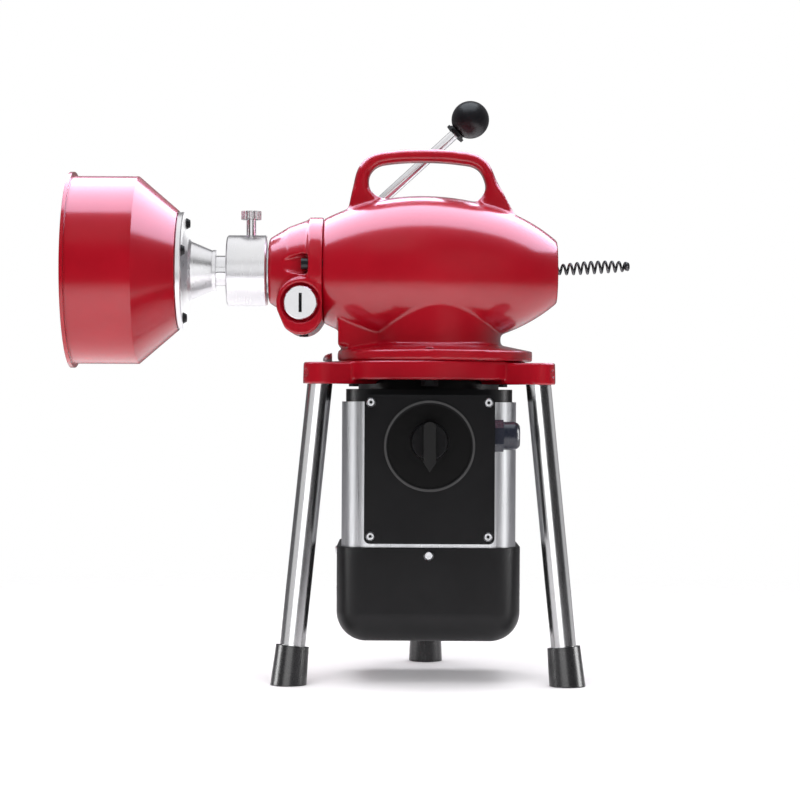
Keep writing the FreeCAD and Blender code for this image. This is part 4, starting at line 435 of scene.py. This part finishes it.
# Painted shade: the shaft's screwdriver slot and the middles of the lid screws' recesses are darkened to
# stand in for the shade inside them.
SLOT_HALF_WIDTH = 0.0013
SLOT_HALF_LENGTH = 0.0085
SLOT_DEPTH = 0.0040
SCREW_HEAD_RADIUS = 0.0042
RECESS = 0.0012
PAINTED_SHADE = (0.012, 0.012, 0.013)
shaft_low, shaft_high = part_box("lever_shaft")
disc_x, disc_z = (shaft_low.x + shaft_high.x) / 2, (shaft_low.z + shaft_high.z) / 2
shaft_finish = own_finish("lever_shaft", slot_of["lever_shaft"], "slotted_shaft")
shaft_tree = shaft_finish.node_tree
in_slot = both(shaft_tree, within(shaft_tree, coordinate(shaft_tree, "X"), disc_x, SLOT_HALF_WIDTH),
               within(shaft_tree, coordinate(shaft_tree, "Z"), disc_z, SLOT_HALF_LENGTH))
near_end = within(shaft_tree, coordinate(shaft_tree, "Y"), shaft_low.y, SLOT_DEPTH)
# Painted shade in the screwdriver slot.
tone_where(shaft_finish, both(shaft_tree, in_slot, near_end), PAINTED_SHADE)
screws_low, screws_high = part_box("lid_screws")
screws_finish = own_finish("lid_screws", slot_of["lid_screws"], "recessed_screws")
screws_tree = screws_finish.node_tree
masks = []
for axis, at in (("X", 0), ("Z", 2)):
    middle, half = (screws_low[at] + screws_high[at]) / 2, (screws_high[at] - screws_low[at]) / 2
    off_middle = away(screws_tree, coordinate(screws_tree, axis), middle)
    masks.append(within(screws_tree, off_middle, half - SCREW_HEAD_RADIUS, RECESS))
# Painted shade in the middles of the screws' recesses.
tone_where(screws_finish, both(screws_tree, *masks), PAINTED_SHADE)

# ---------------------------------------------------------------- cast and moulded pieces with soft edges


def new_piece(name, mesh, body, slot, *stands_for):
    """A finished piece on its body, in place of the CAD nodes named."""
    piece = bpy.data.objects.new(name, mesh)
    scene.collection.objects.link(piece)
    paint(piece, slot)
    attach(piece, body)
    if stands_for:
        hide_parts(*stands_for)
    return piece


def smooth_mesh(form, name):
    """A shaded-smooth mesh from mesh code, which is freed."""
    bmesh.ops.recalc_face_normals(form, faces=form.faces)
    mesh = bpy.data.meshes.new(name)
    form.to_mesh(mesh)
    form.free()
    for face in mesh.polygons:
        face.use_smooth = True
    return mesh


def evaluated_mesh(source):
    """The mesh that an object's modifiers give, as a mesh of its own."""
    graph = bpy.context.evaluated_depsgraph_get()
    return bpy.data.meshes.new_from_object(source.evaluated_get(graph), depsgraph=graph)


SOFTEN_BLEND = 0.006


def soften_above(mesh, height, rounds):
    """Rounds the part of a casting over a height more than the rest of it, with a gradual start."""
    form = bmesh.new()
    form.from_mesh(mesh)
    high = [(vert, min(1.0, (vert.co.z - height) / SOFTEN_BLEND))
            for vert in form.verts if vert.co.z > height]
    for _ in range(rounds):
        moves = [(vert, vert.co.lerp(sum((edge.other_vert(vert).co for edge in vert.link_edges), Vector())
                                     / len(vert.link_edges), 0.5 * share)) for vert, share in high]
        for vert, place in moves:
            vert.co = place
    form.to_mesh(mesh)
    form.free()


FILLET_STEPS = 8
FILLET_OVERLAP = 0.004
FILLET_FLOOR = 0.010


def add_fillets(mesh, corners):
    """Fills inner corners of a casting: each has its x and z, the side it opens to (1 is +X), the radius
    of its hollow face, and its depth from front to back."""
    form = bmesh.new()
    form.from_mesh(mesh)
    for x, z, side, radius, depth in corners:
        outline = [(x - side * FILLET_OVERLAP, z - FILLET_FLOOR), (x + side * radius, z - FILLET_FLOOR)]
        for step in range(FILLET_STEPS + 1):
            angle = math.radians(90 * step / FILLET_STEPS)
            outline.append((x + side * radius * (1 - math.sin(angle)), z + radius * (1 - math.cos(angle))))
        outline.append((x - side * FILLET_OVERLAP, z + radius))
        front = [form.verts.new((px, AXIS_Y - depth / 2, pz)) for px, pz in outline]
        back = [form.verts.new((px, AXIS_Y + depth / 2, pz)) for px, pz in outline]
        form.faces.new(front)
        form.faces.new(list(reversed(back)))
        for one, two, three, four in zip(front, front[1:] + front[:1], back[1:] + back[:1], back):
            form.faces.new((two, one, four, three))
    bmesh.ops.recalc_face_normals(form, faces=form.faces[:])
    form.to_mesh(mesh)
    form.free()


def cast_copy(node, name, voxel, rounds, softer=None, fillets=()):
    """A CAD node of the machine's body with the rounded inner and outer corners of a casting.

    softer = (height, rounds) rounds the part over a height more than the rest."""
    blank = bpy.data.objects.new("blank", nodes[node].data.copy())
    scene.collection.objects.link(blank)
    blank.data.materials.clear()
    add_fillets(blank.data, fillets)
    remesh = blank.modifiers.new("grid", "REMESH")
    remesh.mode = "VOXEL"
    remesh.voxel_size = voxel
    remesh.use_smooth_shade = True
    smooth = blank.modifiers.new("soften", "SMOOTH")
    smooth.factor = 0.5
    smooth.iterations = rounds
    mesh = evaluated_mesh(blank)
    mesh.name = name
    bpy.data.objects.remove(blank)
    if softer:
        above, extra = softer
        soften_above(mesh, above, extra)
    for face in mesh.polygons:
        face.use_smooth = True
    return new_piece(name, mesh, "machine", slot_of[node], node)


HANDLE_ROOT = AXIS_Z + 0.071
HANDLE_CORNERS = ((0.0150, AXIS_Z + 0.0655, 1, 0.016, 0.020), (0.1215, AXIS_Z + 0.0600, -1, 0.019, 0.020))
HANDLE_ROUNDS = 22
BODY_VOXEL = 0.0017
SMALL_VOXEL = 0.0013
cast_copy("body_casting", "cast_body", BODY_VOXEL, 6, softer=(HANDLE_ROOT, HANDLE_ROUNDS),
          fillets=HANDLE_CORNERS)
cast_copy("nose_casting", "cast_nose", SMALL_VOXEL, 5)
cast_copy("tripod_plate", "cast_plate", SMALL_VOXEL, 5)

# ---------------------------------------------------------------- the cable in the drum

TURN_RADIUS = 0.0052
LANES = 4
TURN_STEPS = 720
CROSSING = 0.18
WALL_GAP = 0.0005
LAYER_GAP = 0.0009
SWAY = 0.0004
SWAY_WAVES = 3
SWAY_PHASE = 2.1
WIRE_NOTCH = 0.0009
TURN_SIDES = 10


def cable_turns():
    """The cable's turns inside the drum, side by side in two layers, with the notches of its wound wire.

    Each turn stays in its lane until the last CROSSING of the way round, where it eases into the next."""
    low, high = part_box("cable_coil")
    outer = (high.z - low.z) / 2
    width = high.x - low.x - 2 * TURN_RADIUS
    lanes = [low.x + TURN_RADIUS + width * lane / (LANES - 1) for lane in range(LANES)]
    outer_ring = outer - TURN_RADIUS - WALL_GAP
    inner_ring = outer_ring - 2 * TURN_RADIUS - LAYER_GAP
    path = []
    turns = [(x, outer_ring) for x in lanes] + [(x, inner_ring) for x in reversed(lanes)]
    for number in range(len(turns) * TURN_STEPS):
        turn, part = divmod(number, TURN_STEPS)
        here = turns[turn]
        after = turns[min(turn + 1, len(turns) - 1)]
        share = max(0.0, part / TURN_STEPS - (1 - CROSSING)) / CROSSING
        share = share * share * (3 - 2 * share)
        angle = 2 * math.pi * part / TURN_STEPS
        sway = SWAY * math.sin(turn * SWAY_PHASE + SWAY_WAVES * angle)
        ring = here[1] + (after[1] - here[1]) * share + sway
        path.append((here[0] + (after[0] - here[0]) * share + sway, ring, angle))
    form = bmesh.new()
    rings = []
    for number, (x, ring, angle) in enumerate(path):
        outward = Vector((0.0, math.cos(angle), math.sin(angle)))
        middle = Vector((x, AXIS_Y, AXIS_Z)) + outward * ring
        wire = TURN_RADIUS if number % 2 else TURN_RADIUS - WIRE_NOTCH
        loop = []
        for side in range(TURN_SIDES):
            around = 2 * math.pi * side / TURN_SIDES
            loop.append(form.verts.new(middle + wire * (outward * math.cos(around)
                                                        + Vector((1.0, 0.0, 0.0)) * math.sin(around))))
        rings.append(loop)
    for one, two in zip(rings, rings[1:]):
        for side in range(TURN_SIDES):
            form.faces.new((one[side], one[side - 1], two[side - 1], two[side]))
    form.faces.new(rings[0])
    form.faces.new(list(reversed(rings[-1])))
    return new_piece("wound_cable", smooth_mesh(form, "wound_cable"), "drum", "spring_steel", "cable_coil")


cable_turns()

# ---------------------------------------------------------------- the cable through the spindle


def tube_along(form, points, radii, sides, start=Vector((0.0, 0.0, 1.0))):
    """A closed tube through points, with a radius at each."""
    across = start
    angles = [2 * math.pi * side / sides for side in range(sides)]
    rings = []
    for number, point in enumerate(points):
        ahead = points[min(number + 1, len(points) - 1)] - points[max(number - 1, 0)]
        ahead.normalize()
        across = (across - ahead * across.dot(ahead)).normalized()
        aside = ahead.cross(across)
        spokes = [across * math.cos(angle) + aside * math.sin(angle) for angle in angles]
        rings.append([form.verts.new(point + radii[number] * spoke) for spoke in spokes])
    for one, two in zip(rings, rings[1:]):
        for side in range(sides):
            form.faces.new((one[side - 1], one[side], two[side], two[side - 1]))
    form.faces.new(list(reversed(rings[0])))
    form.faces.new(rings[-1])


CABLE_SIDES = 20
END_SIDES = 24
WIRE_SIDES = 10
CABLE_RADIUS = 0.0050
WINDING_PITCH = 0.0022
WINDING_DEPTH = 0.0004
AUGER_LENGTH = 0.0690
AUGER_TURNS = 10.5
AUGER_STEPS = 22
AUGER_WIRE = 0.00115
AUGER_RING = 0.0030
AUGER_SWELL = 0.0021
COIL_START = 0.0012
COIL_END = 0.0010
TIP_INSIDE = 0.0008
RISE = 0.0055
RISE_BEFORE_AUGER = 0.045
RISE_LENGTH = 0.11
# The ferrule and the tip of the auger as turned shapes: distance along the cable, radius.
FERRULE = ((-0.0020, 0.0046), (-0.0016, 0.0056), (0.0004, 0.0058), (0.0030, 0.0052), (0.0046, 0.0040),
           (0.0050, 0.0026))
TIP = ((-0.0042, 0.0020), (-0.0034, 0.0034), (-0.0012, 0.0040), (0.0, 0.0034), (0.0006, 0.0018))


def auger_cable():
    """Wound wire cable with a ferrule and a bulb auger of open spring wire."""
    low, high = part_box("drain_cable")
    auger_start = high.x - AUGER_LENGTH

    def line(x):
        """The cable's own line, which rises a little where it leaves the machine."""
        free = min(1.0, max(0.0, x - (auger_start - RISE_BEFORE_AUGER)) / RISE_LENGTH)
        return Vector((x, AXIS_Y, AXIS_Z + RISE * free * free * (3 - 2 * free)))

    form = bmesh.new()
    step = WINDING_PITCH / 4
    count = int((auger_start - low.x) / step)
    points = [line(low.x + step * n) for n in range(count)]
    radii = [CABLE_RADIUS - WINDING_DEPTH * (1 + math.cos(math.pi * n / 2)) / 2 for n in range(count)]
    tube_along(form, points, radii, CABLE_SIDES)
    tube_along(form, [line(auger_start + x) for x, _ in FERRULE], [r for _, r in FERRULE], END_SIDES)
    coil_start = auger_start + COIL_START
    length = high.x - AUGER_WIRE - COIL_END - coil_start
    last = AUGER_TURNS * AUGER_STEPS
    coil = []
    for n in range(int(last) + 1):
        share = n / last
        ring = AUGER_RING + AUGER_SWELL * math.sin(math.pi * share) ** 0.6
        angle = 2 * math.pi * n / AUGER_STEPS
        coil.append(line(coil_start + length * share)
                    + Vector((0.0, ring * math.cos(angle), ring * math.sin(angle))))
    tube_along(form, coil, [AUGER_WIRE] * len(coil), WIRE_SIDES, Vector((1.0, 0.0, 0.0)))
    tube_along(form, [line(high.x - TIP_INSIDE + x) for x, _ in TIP], [r for _, r in TIP], END_SIDES)
    return new_piece("auger_cable", smooth_mesh(form, "auger_cable"), "cable", "spring_steel", "drain_cable")


auger_cable()

# ---------------------------------------------------------------- light

LEGS = ("leg_left", "leg_right", "leg_rear")
FEET = ("foot_left", "foot_right", "foot_rear")
DARK_PARTS = ("fan_cover", "gland_body", "gland_nut", "motor_top_shield", *FEET)
BRIGHT_METAL = ("drum_hub", "guide_collar", "drum_neck_tube", "lever_shaft", "lever_hub", "lever_rod",
                "motor_shell", "lid_screws", "fan_cover_screws", "thumb_screw_stem", "thumb_screw_head",
                "leg_set_screws")


def gloss_panel(name, place, target, size, radiance, only, tint=(1.0, 1.0, 1.0)):
    """A panel of a given radiance, seen only in the gloss of the pieces given."""
    area_light(name, place, target, size, panel_power(size, radiance), diffuse=False, only=only, tint=tint)


def build_lights():
    """Panels for the gloss of each kind of surface, and soft light without gloss for the rest."""
    build_world()
    metal = [nodes[name] for name in BRIGHT_METAL]
    legs = [nodes[name] for name in LEGS]
    feet = [nodes[name] for name in FEET]
    dark = [nodes[name] for name in DARK_PARTS]
    reds = (finishes["red_paint"], finishes["drum_red"])
    painted = [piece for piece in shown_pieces() if piece.data.materials[0] in reds]
    rest = [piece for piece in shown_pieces() if piece not in metal and piece not in painted]
    gloss_panel("ceiling_panel", (0.25, 0.58, 1.42), (0.25, 0.58, 0.0), (3.0, 2.0), 8.2, painted,
                tint=(0.90, 0.74, 1.0))
    gloss_panel("dark_ceiling", (0.0, 0.0, 1.42), (0.0, 0.0, 0.0), (1.2, 1.2), 2.2, rest,
                tint=(0.84, 0.92, 1.0))
    gloss_panel("metal_ceiling", (0.0, -0.70, 1.42), (0.0, -0.70, 0.0), (1.6, 3.2), 1.05, metal)
    gloss_panel("metal_card", (0.0, -2.5, 0.6), (0.0, 0.0, 0.3), (2.4, 1.5), 1.10, metal)
    for name, x in (("left_card", -1.3), ("right_card", 1.3)):
        gloss_panel(name, (x, -0.5, 0.3), (0.0, 0.0, 0.25), (0.5, 1.2), 1.6, metal)
        gloss_panel(name + "_dark", (x, -0.1, 0.3), (0.0, 0.0, 0.15), (0.5, 1.2), 15.0, dark)
    gloss_panel("metal_back", (0.3, 1.7, 0.35), (0.0, 0.0, 0.3), (2.0, 1.2), 1.3,
                [nodes["drum_hub"], nodes["guide_collar"]])
    gloss_panel("hub_card", (1.2, -1.2, 0.45), (-0.2, 0.0, 0.35), (1.2, 1.2), 1.25, [nodes["drum_hub"]])
    gloss_panel("leg_card", (-0.55, -2.4, 0.6), (0.0, 0.0, 0.15), (1.9, 1.5), 4.0, legs + feet)
    gloss_panel("leg_left_card", (-1.7, -1.0, 0.4), (0.0, 0.0, 0.15), (1.6, 1.4), 1.2, legs)
    gloss_panel("leg_right_card", (1.6, 0.6, 0.4), (0.0, 0.0, 0.15), (1.6, 1.4), 0.8, legs)
    area_light("key", (-0.5, -1.5, 1.9), (0.0, 0.0, 0.25), (1.2, 1.2), 21.0, glossy=False)
    area_light("fill", (0.9, -1.9, 0.7), (0.0, 0.0, 0.25), (1.4, 1.4), 11.0, glossy=False)
    area_light("top", (0.0, 0.3, 1.9), (0.0, 0.0, 0.0), (1.6, 1.6), 24.0, glossy=False)
    area_light("floor_wash", (0.0, 0.2, 3.0), (0.0, 0.2, 0.0), (4.0, 4.0), 84.0, glossy=False, only=[ground])
    area_light("floor_front", (0.0, -2.0, 0.45), (0.0, 0.0, 0.0), (2.4, 0.8), 70.0, glossy=False,
               only=[ground])


build_lights()
